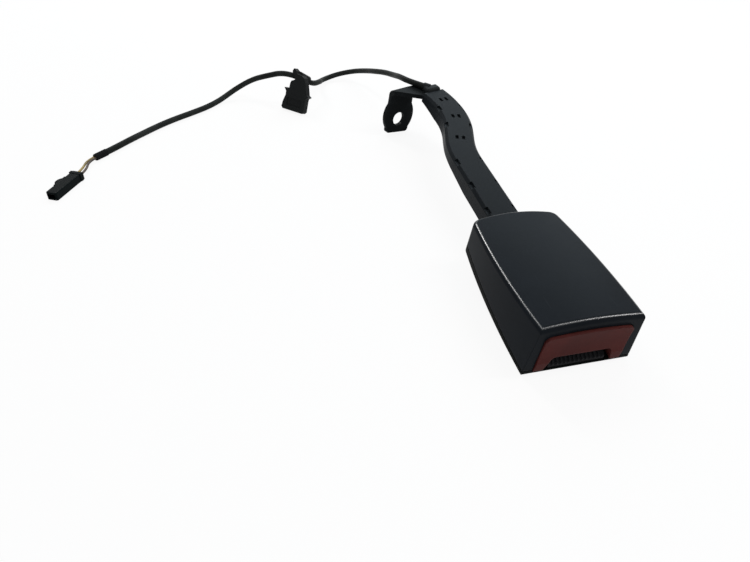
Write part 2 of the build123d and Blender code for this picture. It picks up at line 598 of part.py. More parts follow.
# ---------------------------------------------------------------- strap with its anchor tab
def tab_face(left, right):
    """The tab's outline in (x, z), hanging from z = 0, with its bolt hole."""
    lean = radians(-TAB_TWIST)

    def at(out, up):
        return (out * cos(lean) + up * sin(lean), up * cos(lean) - out * sin(lean) - HOLE_BELOW_BEND)

    neck, foot = TAB_NECK_HALF_WIDTH, TAB_FOOT_HALF_WIDTH
    sides = []
    for hand, top in ((-1, left), (1, right)):
        shoulder = at(hand * neck, TAB_NECK_ABOVE_HOLE)
        ankle = at(hand * foot, -TAB_FOOT_TOP_BELOW_HOLE - 1)
        sides += [
            Line((top, 0), shoulder),
            ThreePointArc(shoulder, at(hand * TAB_WIDE_HALF_WIDTH, 2), ankle),
            Line(ankle, at(hand * foot, -TAB_FOOT_BELOW_HOLE)),
        ]
    foot_line = Line(at(-foot, -TAB_FOOT_BELOW_HOLE), at(foot, -TAB_FOOT_BELOW_HOLE))
    face = make_face(sides + [foot_line, Line((left, 0), (right, 0))])
    face = fillet(face.vertices().sort_by(Axis.Y)[:2], TAB_FOOT_CORNER)
    return face - Pos(0, -HOLE_BELOW_BEND) * Circle(HOLE_RADIUS)


def bend_frame():
    """The frame at the tab's bend: X along the bend line, Y the way the strap arrives, Z up."""
    heading = radians(TAB_HEADING)
    return Plane(origin=(*TAB_BEND_START, -STRAP_HALF - TAB_BEND_INNER_RADIUS),
                 x_dir=(cos(heading), -sin(heading), 0), z_dir=(0, 0, 1))


def bend_ends():
    """How far the bend reaches to the left and right of its frame's origin."""
    middle = tan(radians(-TAB_TWIST)) * HOLE_BELOW_BEND
    return middle - TAB_NECK_HALF_WIDTH, middle + TAB_NECK_HALF_WIDTH


def make_anchor_strap():
    """The steel strap: the riveted end, the S, the bend and the tab with the bolt hole."""
    half = STRAP_WIDTH / 2
    left, right = bend_ends()
    frame = bend_frame()
    corners = [frame.from_local_coords((u, 0, 0)) for u in (left, right)]
    neck = [along(S_END - 3, -half)[0], along(S_END, -half)[0],
               (corners[0].X, corners[0].Y), (corners[1].X, corners[1].Y),
               along(S_END, half)[0], along(S_END - 3, half)[0]]
    plan = band(half, STRAP_START, S_END) + make_face(Polyline(*neck, close=True))
    strap = plan_prism(plan, -STRAP_HALF, STRAP_HALF)
    for y in RIVET_YS:
        strap -= rod(RIVET_RADIUS + PIN_FIT, (0, y, -5), (0, y, 5))
    inner, outer = TAB_BEND_INNER_RADIUS, TAB_BEND_INNER_RADIUS + STRAP_THICKNESS
    turn = radians(TAB_BEND_ANGLE)
    wedge = side_profile([(0, 0), (0, 20), (20, 20), (20 * sin(turn), 20 * cos(turn))], left, right)
    bend = (rod(outer, (left, 0, 0), (right, 0, 0)) - rod(inner, (left, 0, 0), (right, 0, 0))) & wedge
    tab = Rot(90 - TAB_BEND_ANGLE, 0, 0) * front_prism(tab_face(left, right), inner, outer)
    return strap + frame.location * (bend + tab)


# ---------------------------------------------------------------- sleeve halves
def windows(half_width, length, offset, stations, depth=WINDOW_DEPTH):
    """Cutters for pairs of windows in the cover's top, at the given stations."""
    cutters = []
    for s in stations:
        for x in (-offset, offset):
            cutters.append(on_stalk(s, block(x - half_width, x + half_width, -length / 2, length / 2,
                                             SLEEVE_TOP - depth, SLEEVE_TOP + 1)))
    return cutters


def side_windows():
    """Stations of the windows along the cover's edges."""
    return (FIRST_WINDOW, FIRST_WINDOW + WINDOW_PITCH, FIRST_WINDOW + 2 * WINDOW_PITCH, *FAR_WINDOWS)


def make_sleeve_cover():
    """The upper half of the plastic sleeve round the strap."""
    half = SLEEVE_WIDTH / 2
    cover = plan_prism(band(half, SLEEVE_START, S_END), TAIL_TOP - 0.1, SLEEVE_TOP)
    long_edges = [e for e in cover.faces().sort_by(Axis.Z)[-1].edges() if e.length > 8 and e.center().Y > 82
                  and e.center().Y < S_END - 3.5 and abs((e % 0.5).X) < 0.9]
    cover = chamfer([e for e in long_edges if e.length > 5], SLEEVE_CHAMFER)
    cavity_half = STRAP_WIDTH / 2 + SLEEVE_CLEARANCE
    cover -= plan_prism(band(cavity_half, SLEEVE_START - 1, S_END), TAIL_TOP - 1, STRAP_HALF + SLEEVE_CLEARANCE)
    for cutter in windows(SIDE_WINDOW_WIDTH / 2, SIDE_WINDOW_LENGTH, SIDE_WINDOW_OFFSET, side_windows()):
        cover -= cutter
    for cutter in windows(MIDDLE_WINDOW_WIDTH / 2, MIDDLE_WINDOW_LENGTH, MIDDLE_WINDOW_OFFSET, MIDDLE_WINDOWS):
        cover -= cutter
    return cover


def make_sleeve_base():
    """The lower half of the sleeve, with the lead's channel and the collar in the housing."""
    top = TAIL_TOP - 0.1
    base = plan_prism(band(SLEEVE_WIDTH / 2, SLEEVE_START, S_END), SLEEVE_BOTTOM, top)
    collar_end = COLLAR_END
    base += plan_prism(band(COLLAR_WIDTH / 2, SLEEVE_START, collar_end), COLLAR_BOTTOM, top - 1.2)
    half = INNER_LEAD_RADIUS + LEAD_CHANNEL_CLEARANCE
    base -= plan_prism(band(half, SLEEVE_START - 1, S_END), INNER_LEAD_Z - half, top + 1)
    base -= block(-half, half + 0.6, SLEEVE_START - 1, COLLAR_END, SLEEVE_BOTTOM - 0.3, top + 1)
    return base - block(-half, half + 0.6, COLLAR_END - 1, LEAD_START - 2, SLEEVE_BOTTOM + 0.6, top + 1)


# ---------------------------------------------------------------- buckle switch and its lead
SWITCH_SIDE_GAP = 0.7
SWITCH_WIDTH = 6.0
SWITCH_RIGHT = CHANNEL_HALF_WIDTH - SWITCH_SIDE_GAP
SWITCH_BLOCK = (SWITCH_RIGHT - SWITCH_WIDTH, SWITCH_RIGHT, 28.0, 46.0, -7.35, -3.8)
SWITCH_WIRE_RADIUS = 0.75
SWITCH_WIRE_X = (SWITCH_RIGHT - 4.1, SWITCH_RIGHT - 2.1)


def make_buckle_switch():
    """The sealed magnetic switch beside the ejector."""
    x0, x1, y0, y1, z0, z1 = SWITCH_BLOCK
    body = block(x0, x1, y0, y1, z0, z1)
    body = fillet(body.edges().filter_by(Axis.Z), 0.8)
    rib = block(x0 + 1.2, x1 - 1.2, y0 + 3, y1 - 3, z1 - 0.2, z1 + 0.4)
    return body + rib


def wire_path(points, radius):
    """A round wire through the points, with rounded corners."""
    bends = []
    for a, b, c in zip(points, points[1:], points[2:]):
        one, two = Vector(*b) - Vector(*a), Vector(*c) - Vector(*b)
        turn = radians(one.get_angle(two))
        bends.append(0.45 * min(one.length, two.length) / tan(turn / 2))
    path = FilletPolyline(*points, radius=bends) if bends else Line(*points)
    section = Plane(origin=path @ 0, z_dir=path % 0) * Circle(radius)
    return sweep(section, path=path), bends


def make_switch_leads():
    """The switch's two cores, from its back to the start of the lead."""
    back = SWITCH_BLOCK[3]
    z = (SWITCH_BLOCK[4] + SWITCH_BLOCK[5]) / 2
    leads = []
    for x, end_x in zip(SWITCH_WIRE_X, (-CORE_SPACING / 2, CORE_SPACING / 2)):
        under = TAIL_TOP - PLATE - RIVET_HEAD_HEIGHT - SWITCH_WIRE_RADIUS - 0.25
        points = [(x, back, z), (x, back + 16, under), (1.3 * end_x + 1.5, TAIL_END - 2, under),
                  (end_x, TAIL_END + 5, under + 0.9), (end_x, LEAD_START, INNER_LEAD_Z)]
        leads.append(wire_path(points, SWITCH_WIRE_RADIUS)[0])
    return leads


LEAD_START = SLEEVE_START + 12.0


def make_inner_lead():
    """The sheathed lead in the sleeve's channel."""
    path = Wire(side_line(0.0, LEAD_START, S_END))
    path = Pos(0, 0, INNER_LEAD_Z) * path
    section = Plane(origin=path @ 0, z_dir=path % 0) * Circle(INNER_LEAD_RADIUS)
    return sweep(section, path=path)


# ---------------------------------------------------------------- where the lead leaves the stalk
HOOD = (-5.0, 6.5, 0.0, 7.0, -6.6, 5.4)
HOOD_TOP_RADIUS = 3.0
EXIT_RIGHT = -1.0
EXIT_HEIGHT = 3.75
EXIT_TURN = 30.0             # degrees, to the left of the stalk's direction at its end


def exit_point(distance):
    """A point of the lead's straight start, in the frame of the stalk's end."""
    turn = radians(EXIT_TURN)
    return (EXIT_RIGHT - distance * sin(turn), HOOD[3] - 1 + distance * cos(turn), EXIT_HEIGHT)


def make_cable_grommet():
    """The moulded hood at the sleeve's end, which turns the lead up and over the strap."""
    x0, x1, y0, y1, z0, z1 = HOOD
    hood = block(*HOOD)
    hood = fillet(hood.edges().group_by(Axis.Z)[-1], HOOD_TOP_RADIUS * 0.7)
    hood = fillet(hood.edges().filter_by(Axis.Z), 1.6)
    hood += rod(LEAD_RADIUS + 0.6, exit_point(-1.2), exit_point(3.2))
    hood -= rod(LEAD_RADIUS + CLIP_CLEARANCE, exit_point(0), exit_point(5))
    hood = on_stalk(S_END, hood)
    half = STRAP_WIDTH / 2 + 0.2
    frame = bend_frame()
    left, right = (frame.from_local_coords((u, 0, 0)) for u in bend_ends())
    wide = 0.3
    plan = make_face(Polyline(
        along(S_END - 3, -half)[0], along(S_END, -half)[0], (left.X, left.Y - wide), (left.X, left.Y + 8),
        (right.X, right.Y + 8), (right.X + wide, right.Y + wide), along(S_END + 0.0, half)[0],
        along(S_END - 3, half)[0], close=True))
    gap = STRAP_HALF + SLEEVE_CLEARANCE
    return hood - plan_prism(plan, -gap, gap)


# ---------------------------------------------------------------- the free lead, on the surface
# Points of its middle line in the leaned frame, before the origin is moved.
EXIT_RUN = 15.0
FREE_ROUTE = (
    (-9.6, 268.9, 35.7), (-8.1, 285.9, 30.2), (-11.1, 303.3, 26.3), (-15.7, 320.2, 21.3), (-17.5, 337.0, 15.6),
    (-23.8, 356.6, 8.6), (-37.3, 362.1, 4.6), (-50.6, 357.2, 2.7), (-59.2, 343.4, 5.2), (-59.8, 323.1, 14.2),
    (-69.1, 309.9, 17.1), (-77.7, 306.7, 23.4), (-92.1, 311.2, 27.2), (-104.3, 320.6, 21.7),
    (-115.2, 331.3, 15.3), (-129.2, 333.5, 7.3), (-142.0, 325.4, 2.15), (-152.5, 313.1, 2.15),
    (-164.8, 303.2, 2.15), (-177.3, 294.1, 2.15), (-188.7, 284.2, 2.15), (-198.9, 273.6, 2.15),
    (-209.0, 262.8, 2.15), (-218.8, 251.2, 2.15), (-229.6, 240.0, 2.15),
)
FLOOR_BELOW = 14.782         # the surface, below the stalk's origin
LEAN = 4.477                 # degrees, so that the housing's front and the tab's foot both rest
CONNECTOR_AT = (-243.5, 205.2)
CONNECTOR_TURN = 26.6        # degrees, from +Y towards +X
CONNECTOR_SIZE = (7.0, 28.0, 5.0)
TERMINAL_OFFSET = 1.5
WIRE_HEIGHT = 2.5
WIRE_INSIDE = 3.0
CLIP_AT = (-84.257, 298.445)
CLIP_TURN = -46.1
CLIP_LEAN = 20.0             # degrees, backwards about the lower edge of its back
CLIP_THICKNESS = 5.0
CLIP_OUTLINE = (
    (-12.4, 1.4), (-11.0, 0.0), (8.0, 0.0), (9.4, 1.4), (9.2, 10.0), (9.4, 11.8), (11.7, 13.4), (9.4, 14.6),
    (8.9, 16.4), (6.5, 23.6), (4.8, 26.5), (2.3, 27.9), (-1.0, 28.2), (-2.7, 28.6), (-3.3, 30.2), (-4.9, 31.1),
    (-6.0, 31.8), (-7.0, 30.0), (-6.9, 28.8), (-4.5, 26.0), (-3.5, 24.2), (-4.2, 23.4), (-6.7, 22.3),
    (-7.5, 20.4), (-7.7, 16.6), (-9.2, 15.8), (-12.3, 16.2), (-10.2, 13.8), (-10.1, 10.8), (-11.8, 5.6),
)
CLIP_RING_WALL = 1.8
CLIP_RING_LENGTH = 5.5
CLIP_CLEARANCE = 0.06


def sheath_route():
    """The sheath's route: straight out of the hood's collar, then the free points."""
    ends = [Rot(LEAN, 0, 0) * on_stalk(S_END, Pos(*exit_point(run)) * Plane.XZ.location) for run in (0, EXIT_RUN)]
    stops = [(p.position.X, p.position.Y, p.position.Z + FLOOR_BELOW) for p in ends]
    return (*stops, *FREE_ROUTE)


def check_route(name, points, diameter):
    """Print a lead's shortest run, longest run, smallest bend radius and length."""
    runs = [(Vector(*b) - Vector(*a)).length for a, b in zip(points, points[1:])]
    solid, bends = wire_path(points, diameter / 2)
    print(f"{name}: runs {min(runs):.1f}..{max(runs):.1f}, length {sum(runs):.1f}, "
          f"volume / section {solid.volume / (pi * diameter ** 2 / 4):.1f}, "
          f"radii {', '.join(f'{bend:.0f}' for bend in bends)}")
    return solid


def make_harness_clip():
    """The clip on the lead: a foot plate with a waist, two barbs, a domed head with a nub, and a ring at its back."""
    clip = front_prism(make_face(Polyline(*CLIP_OUTLINE, close=True)), -CLIP_THICKNESS, 0)
    clip -= front_prism(Pos(-1.2, 6.6) * RectangleRounded(14.0, 6.0, 1.2), -CLIP_THICKNESS - 1, -CLIP_THICKNESS + 0.7)
    clip = Pos(*CLIP_AT, 0) * Rot(0, 0, CLIP_TURN) * Rot(-CLIP_LEAN, 0, 0) * clip
    before, behind = Vector(*FREE_ROUTE[10]), Vector(*FREE_ROUTE[11])
    ahead = (behind - before).normalized()
    clip += rod(LEAD_RADIUS + CLIP_RING_WALL, behind - ahead * CLIP_RING_LENGTH, behind + ahead * 3.6)
    return clip - wire_path(sheath_route(), LEAD_RADIUS + CLIP_CLEARANCE)[0]


def at_connector(shape):
    """A shape drawn about the connector's middle, with its wires at +Y, put in place."""
    return Pos(*CONNECTOR_AT, 0) * Rot(0, 0, -CONNECTOR_TURN) * shape


def wire_route(hand):
    """A core's route, from the end of the sheath into the connector's rear."""
    end, before = Vector(*FREE_ROUTE[-1]), Vector(*FREE_ROUTE[-2])
    ahead = (end - before).normalized()
    side = Vector(-ahead.Y, ahead.X, 0) * (hand * CORE_SPACING / 2)
    start = end + side
    turn = radians(CONNECTOR_TURN)
    axis, across = Vector(sin(turn), cos(turn), 0), Vector(cos(turn), -sin(turn), 0)
    hole = Vector(*CONNECTOR_AT, WIRE_HEIGHT) + axis * (CONNECTOR_SIZE[1] / 2) \
        + across * (hand * TERMINAL_OFFSET)
    stops = [start, start + ahead * 6, hole + axis * 6, hole - axis * WIRE_INSIDE]
    return [(round(p.X, 3), round(p.Y, 3), round(p.Z, 3)) for p in stops]


def make_connector():
    """The two-way connector: its housing, its lock and its two terminals."""
    half_width, half_length, height = CONNECTOR_SIZE[0] / 2, CONNECTOR_SIZE[1] / 2, CONNECTOR_SIZE[2]
    body = block(-half_width, half_width, -half_length, half_length, 0, height)
    body = fillet(body.edges().filter_by(Axis.Z).group_by(Axis.Y)[0], 1.2)
    body = fillet(body.edges().group_by(Axis.Z)[-1], 0.6)
    body += block(-half_width - 0.4, half_width + 0.4, half_length - 3.5, half_length - 1.2, 0.0, height + 0.3)
    body -= block(-half_width + 1.0, half_width - 1.0, -half_length - 1, 1.0, 1.0, height - 1.0)
    terminals = []
    for x in (-TERMINAL_OFFSET, TERMINAL_OFFSET):
        blade = block(x - 0.45, x + 0.45, -half_length + 4.0, half_length - 6.0, WIRE_HEIGHT - 0.3, WIRE_HEIGHT + 0.3)
        barrel = rod(0.9, (x, half_length - 6.5, WIRE_HEIGHT), (x, half_length - 3.2, WIRE_HEIGHT))
        terminals.append(blade + barrel)
        body -= rod(CORE_RADIUS + 0.05, (x, half_length - WIRE_INSIDE, WIRE_HEIGHT),
                    (x, half_length + 1, WIRE_HEIGHT))
        body -= terminals[-1]
    arm = block(-half_width - 1.6, -half_width - 0.8, -4.0, 7.0, 1.2, height - 1.0)
    root = block(-half_width - 1.6, -half_width, 5.2, 7.0, 1.2, height - 1.0)
    low, high, proud = (-half_width - 1.2, -3.0), (-half_width - 1.2, 5.2), (-half_width - 3.3, 1.1)
    lump = plan_prism(make_face([ThreePointArc(low, proud, high), Line(high, low)]), 1.2, height - 1.0)
    lock = arm + root + lump - body
    return at_connector(body), at_connector(lock), [at_connector(t) for t in terminals]


# ---------------------------------------------------------------- everything in its place


def stalk_pieces():
    """The buckle and its stalk, each piece in the stalk's own frame."""
    upper, lower = make_housing()
    return {
        "upper_housing": upper,
        "lower_housing": lower,
        "press_button": make_press_button(),
        "lock_bar": make_lock_bar(),
        "entry_guide": make_entry_guide(),
        "base_frame": make_base_frame(),
        "cross_bridge": make_cross_bridge(),
        "latch": make_latch(),
        "latch_pin": make_latch_pin(),
        "latch_spring": make_latch_spring(),
        "ejector": make_ejector(),
        "ejector_spring": make_ejector_spring(),
        "button_spring": make_button_spring(),
        "sensor_magnet": make_sensor_magnet(),
        "buckle_switch": make_buckle_switch(),
        "switch_leads": Compound(children=make_switch_leads()),
        "inner_lead": make_inner_lead(),
        "frame_rivets": Compound(children=make_rivets()),
        "anchor_strap": make_anchor_strap(),
        "sleeve_cover": make_sleeve_cover(),
        "sleeve_base": make_sleeve_base(),
        "cable_grommet": make_cable_grommet(),
    }


def lead_pieces():
    """The free lead and what is on it, lying beside the leaned stalk."""
    housing, lock, terminals = make_connector()
    return {
        "lead_sheath": check_route("lead_sheath", sheath_route(), 2 * LEAD_RADIUS),
        "wire_yellow": check_route("wire_yellow", wire_route(-1), 2 * CORE_RADIUS),
        "wire_dark": check_route("wire_dark", wire_route(1), 2 * CORE_RADIUS),
        "harness_clip": make_harness_clip(),
        "connector_housing": housing,
        "connector_lock": lock,
        "connector_terminals": Compound(children=terminals),
    }


def main():
    """Build every piece, place it and write its STEP file."""
    stalk = {name: Rot(LEAN, 0, 0) * shape for name, shape in stalk_pieces().items()}
    boxes = [shape.bounding_box() for shape in stalk.values()]
    low_z = min(box.min.Z for box in boxes)
    middle_x = (min(box.min.X for box in boxes) + max(box.max.X for box in boxes)) / 2
    middle_y = (min(box.min.Y for box in boxes) + max(box.max.Y for box in boxes)) / 2
    print(f"moved by {-middle_x:.4f} {-middle_y:.4f} {-low_z:.4f}")
    for point in sheath_route():
        print(f"  {point[0] - middle_x:.2f} {point[1] - middle_y:.2f} {point[2]:.2f}")
    for route in (wire_route(-1), wire_route(1)):
        print([(round(p[0] - middle_x, 2), round(p[1] - middle_y, 2), p[2]) for p in route])
    os.makedirs("parts", exist_ok=True)
    for name, shape in stalk.items():
        export_step(Pos(-middle_x, -middle_y, -low_z) * shape, f"parts/{name}.step")
    for name, shape in lead_pieces().items():
        export_step(Pos(-middle_x, -middle_y, 0) * shape, f"parts/{name}.step")


main()
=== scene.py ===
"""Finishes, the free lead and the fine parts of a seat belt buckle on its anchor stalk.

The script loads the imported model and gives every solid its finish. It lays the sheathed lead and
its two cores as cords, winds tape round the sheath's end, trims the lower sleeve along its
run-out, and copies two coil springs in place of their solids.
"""
from __future__ import annotations

import logging
import math
from dataclasses import dataclass
from enum import Enum
from typing import Iterable, Sequence, Union

import bmesh
import bpy
from mathutils import Matrix, Vector

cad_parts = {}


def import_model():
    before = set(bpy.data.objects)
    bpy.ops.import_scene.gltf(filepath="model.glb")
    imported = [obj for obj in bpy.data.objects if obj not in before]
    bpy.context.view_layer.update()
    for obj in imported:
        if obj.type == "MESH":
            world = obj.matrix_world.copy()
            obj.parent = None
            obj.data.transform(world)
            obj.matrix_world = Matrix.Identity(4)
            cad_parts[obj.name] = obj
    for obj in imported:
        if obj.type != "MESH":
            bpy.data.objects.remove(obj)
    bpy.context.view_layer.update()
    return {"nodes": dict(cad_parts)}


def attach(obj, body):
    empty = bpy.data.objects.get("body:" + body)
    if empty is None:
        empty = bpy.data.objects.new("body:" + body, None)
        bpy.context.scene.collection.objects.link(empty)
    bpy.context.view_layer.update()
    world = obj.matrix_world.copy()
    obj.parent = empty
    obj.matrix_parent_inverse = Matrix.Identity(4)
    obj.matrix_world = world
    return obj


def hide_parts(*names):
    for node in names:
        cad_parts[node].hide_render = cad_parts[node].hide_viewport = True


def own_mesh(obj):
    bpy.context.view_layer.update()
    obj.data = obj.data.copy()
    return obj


log = logging.getLogger("buckle")

Point = tuple[float, float, float]
Input = Union[bpy.types.NodeSocket, float, Sequence[float]]

MM = 0.001
FIXED_BODY = "stalk"
# The stalk's own frame leans about X and then moves, in millimetres; the lead's route only moves.
LEAN = math.radians(4.477)
STALK_SHIFT = Vector((0.0, -127.0105, 14.7822))
LEAD_SHIFT = Vector((0.0, -127.0105, 0.0))


def stalk_matrix() -> Matrix:
    """Return the transform from the stalk's own frame in millimetres to the row frame."""
    lean = Matrix.Rotation(LEAN, 4, "X")
    return Matrix.Diagonal((MM, MM, MM, 1.0)) @ Matrix.Translation(STALK_SHIFT) @ lean


def lead_matrix() -> Matrix:
    """Return the transform from the lead's route points in millimetres to the row frame."""
    return Matrix.Diagonal((MM, MM, MM, 1.0)) @ Matrix.Translation(LEAD_SHIFT)


# ---------------------------------------------------------------- shader building
class Effect(Enum):
    """Surface effects that several finishes share, each one node group."""

    GRAIN = "moulded_grain"
    HANDLING = "handling_marks"
    EDGE_WEAR = "edge_wear_and_highlight"


class Look(Enum):
    """The buckle's finishes, each the name of its material."""

    COVER = "cover plastic"
    SHELL = "shell plastic"
    BUTTON = "button plastic"
    GUIDE = "guide plastic"
    FRAME = "frame steel"
    LATCH = "latch steel"
    PIN = "pin steel"
    SPRING = "spring steel"
    MAGNET = "magnet plate"
    SLIDER = "slider acetal"
    STRAP = "strap coat"
    SLEEVE = "sleeve plastic"
    HOOD = "hood plastic"
    SWITCH = "switch plastic"
    SHEATH = "sheath vinyl"
    YELLOW = "yellow vinyl"
    DARK = "dark vinyl"
    TAPE = "cloth tape"
    CLIP = "clip plastic"
    CONNECTOR = "connector plastic"
    TERMINAL = "terminal tin"


class ShaderTree:
    """A thin helper round one node tree."""

    # A Mix node has sockets for every kind of data; these are the places of the colour ones.
    MIX_FACTOR, MIX_FIRST, MIX_SECOND, MIX_RESULT = 0, 6, 7, 2

    def __init__(self, tree: bpy.types.NodeTree) -> None:
        """Keep the tree that the methods add to.

        Args:
            tree: the node tree of a material, a world or a node group.
        """
        self.tree = tree

    def add(self, kind: str, **values: object) -> bpy.types.Node:
        """Add a node and set its properties and inputs.

        Args:
            kind: the node's type name.
            **values: property names, or input names with underscores for spaces.

        Returns:
            The new node.
        """
        node = self.tree.nodes.new(kind)
        for name, value in values.items():
            if hasattr(node, name):
                setattr(node, name, value)
            else:
                node.inputs[name.replace("_", " ")].default_value = value
        return node

    def link(self, out: bpy.types.NodeSocket, into: bpy.types.NodeSocket) -> None:
        """Join an output socket to an input socket."""
        self.tree.links.new(out, into)

    def feed(self, node: bpy.types.Node, source: bpy.types.Node, **pairs: str) -> None:
        """Join inputs of a node to outputs of another.

        Args:
            node: the node whose inputs are fed.
            source: the node whose outputs feed them.
            **pairs: each input's name, and the name of the output that feeds it.
        """
        for into, out in pairs.items():
            self.link(source.outputs[out], node.inputs[into])

    def fill(self, socket: bpy.types.NodeSocket, value: Input) -> None:
        """Link a socket into an input, or set the input to a plain value.

        Args:
            socket: the input.
            value: the socket or the value that goes into it.
        """
        if isinstance(value, bpy.types.NodeSocket):
            self.link(value, socket)
        else:
            socket.default_value = value

    def math(self, operation: str, a: Input, b: Input = 0.0,
             clamp: bool = False) -> bpy.types.NodeSocket:
        """Add a Math node.

        Args:
            operation: the node's operation.
            a: a socket or a number.
            b: a socket or a number.
            clamp: whether the result is held between 0 and 1.

        Returns:
            The node's output socket.
        """
        node = self.add("ShaderNodeMath", operation=operation, use_clamp=clamp)
        for socket, value in zip(node.inputs, (a, b)):
            self.fill(socket, value)
        return node.outputs[0]

    def mix(self, factor: Input, a: Input, b: Input) -> bpy.types.NodeSocket:
        """Add a colour Mix node.

        Args:
            factor: a socket or a number.
            a: the colour at factor 0, a socket or four numbers.
            b: the colour at factor 1, a socket or four numbers.

        Returns:
            The mixed colour's socket.
        """
        node = self.add("ShaderNodeMix", data_type="RGBA")
        for place, value in ((self.MIX_FACTOR, factor), (self.MIX_FIRST, a), (self.MIX_SECOND, b)):
            self.fill(node.inputs[place], value)
        return node.outputs[self.MIX_RESULT]

    def blend(self, factor: Input, first: bpy.types.Node,
              second: bpy.types.Node) -> bpy.types.NodeSocket:
        """Blend two shaders.

        Args:
            factor: a socket or a number.
            first: the shader node at factor 0.
            second: the shader node at factor 1.

        Returns:
            The blended shader's socket.
        """
        node = self.add("ShaderNodeMixShader")
        for socket, value in zip(node.inputs, (factor, first.outputs[0], second.outputs[0])):
            self.fill(socket, value)
        return node.outputs[0]


def open_material(name: str) -> tuple[bpy.types.Material, ShaderTree]:
    """Make a material with an empty node tree.

    Args:
        name: the material's name.

    Returns:
        The material and the helper round its tree.
    """
    material = bpy.data.materials.new(name)
    material.use_nodes = True
    material.node_tree.nodes.clear()
    return material, ShaderTree(material.node_tree)


class EffectShelf:
    """Builds each shared effect's node group once."""

    CLOUD_SCALE, CLOUD_SHARE = 0.6, 0.5
    SMUDGE_FROM, SMUDGE_TO = 0.42, 0.68
    SCRATCH_TURN, SCRATCH_STRETCH = (0.3, 0.2, 0.9), (1.0, 0.045, 0.5)
    SCRATCH_FINENESS, SCRATCH_FROM, SCRATCH_TO = 6.0, 0.715, 0.74
    DUST_FROM, DUST_TO, DUST_CHANCE = 0.10, 0.04, 0.72
    # The rim band of painted highlight: object normals whose Z lies near RIM_NORMAL_Z.
    RIM_NORMAL_Z, RIM_FALL = 0.865, 9.5
    WEAR_NOISE_MIDDLE, WEAR_NOISE_SHARE, WEAR_GAIN = 0.55, 0.25, 6.0

    def __init__(self) -> None:
        """Start with no groups built."""
        self.groups: dict[Effect, bpy.types.NodeTree] = {}
        self.builders = {Effect.GRAIN: self._moulded_grain, Effect.HANDLING: self._handling_marks,
                         Effect.EDGE_WEAR: self._edge_wear}

    def get(self, effect: Effect) -> bpy.types.NodeTree:
        """Give the node group of an effect, building it at its first use.

        Args:
            effect: the effect.

        Returns:
            Its node group.
        """
        if effect not in self.groups:
            self.groups[effect] = self.builders[effect]()
        return self.groups[effect]

    @staticmethod
    def _open(effect: Effect, inputs: dict[str, float], outputs: Sequence[str]) -> tuple[
            ShaderTree, bpy.types.Node, bpy.types.Node]:
        """Make an empty group with its sockets.

        Args:
            effect: the effect, whose value names the group.
            inputs: input names with their default values.
            outputs: output names; one that ends in Normal is a vector.

        Returns:
            The tree helper, the group's input node and its output node.
        """
        tree = bpy.data.node_groups.new(effect.value, "ShaderNodeTree")
        tree.interface.new_socket("Vector", in_out="INPUT", socket_type="NodeSocketVector")
        for name, value in inputs.items():
            socket = tree.interface.new_socket(name, in_out="INPUT", socket_type="NodeSocketFloat")
            socket.default_value = value
        for name in outputs:
            kind = "NodeSocketVector" if name.endswith("Normal") else "NodeSocketFloat"
            tree.interface.new_socket(name, in_out="OUTPUT", socket_type=kind)
        shader = ShaderTree(tree)
        return shader, shader.add("NodeGroupInput"), shader.add("NodeGroupOutput")

    def _moulded_grain(self) -> bpy.types.NodeTree:
        """Build the fine pebble of a spark-eroded mould.

        Returns:
            The group, which puts out a height.
        """
        shader, into, out = self._open(Effect.GRAIN, {"Scale": 2600.0, "Softness": 0.5},
                                       ("Height",))
        cells = shader.add("ShaderNodeTexVoronoi", feature="SMOOTH_F1")
        shader.feed(cells, into, Vector="Vector", Scale="Scale", Smoothness="Softness")
        cloud = shader.add("ShaderNodeTexNoise", Detail=3.0, Roughness=0.6)
        shader.feed(cloud, into, Vector="Vector")
        shader.link(shader.math("MULTIPLY", into.outputs["Scale"], self.CLOUD_SCALE),
                    cloud.inputs["Scale"])
        share = shader.math("MULTIPLY", cloud.outputs["Fac"], self.CLOUD_SHARE)
        height = shader.math("ADD", cells.outputs["Distance"], share)
        shader.link(height, out.inputs["Height"])
        return shader.tree

    def _handling_marks(self) -> bpy.types.NodeTree:
        """Build smudges, fine scratches and dust specks.

        Returns:
            The group, which puts out a mask for each.
        """
        shader, into, out = self._open(
            Effect.HANDLING, {"Smudge Scale": 45.0, "Scratch Scale": 240.0, "Dust Scale": 900.0},
            ("Smudges", "Scratches", "Dust"))
        smudge = shader.add("ShaderNodeTexNoise", Detail=5.0, Roughness=0.62, Distortion=0.4)
        shader.feed(smudge, into, Vector="Vector", Scale="Smudge Scale")
        ramp = shader.add("ShaderNodeMapRange", From_Min=self.SMUDGE_FROM, From_Max=self.SMUDGE_TO)
        shader.feed(ramp, smudge, Value="Fac")
        shader.feed(out, ramp, Smudges="Result")
        stretch = shader.add("ShaderNodeMapping", vector_type="POINT", Rotation=self.SCRATCH_TURN,
                             Scale=self.SCRATCH_STRETCH)
        shader.feed(stretch, into, Vector="Vector")
        lines = shader.add("ShaderNodeTexNoise", Detail=2.0, Roughness=0.5, Distortion=0.15)
        shader.feed(lines, stretch, Vector="Vector")
        shader.link(shader.math("MULTIPLY", into.outputs["Scratch Scale"], self.SCRATCH_FINENESS),
                    lines.inputs["Scale"])
        fine = shader.add("ShaderNodeMapRange", From_Min=self.SCRATCH_FROM,
                          From_Max=self.SCRATCH_TO)
        shader.feed(fine, lines, Value="Fac")
        shader.feed(out, fine, Scratches="Result")
        specks = shader.add("ShaderNodeTexVoronoi", feature="F1", Randomness=1.0)
        shader.feed(specks, into, Vector="Vector", Scale="Dust Scale")
        few = shader.add("ShaderNodeMapRange", From_Min=self.DUST_FROM, From_Max=self.DUST_TO)
        shader.feed(few, specks, Value="Distance")
        chance = shader.math("GREATER_THAN", specks.outputs["Color"], self.DUST_CHANCE)
        shader.link(shader.math("MULTIPLY", few.outputs["Result"], chance), out.inputs["Dust"])
        return shader.tree

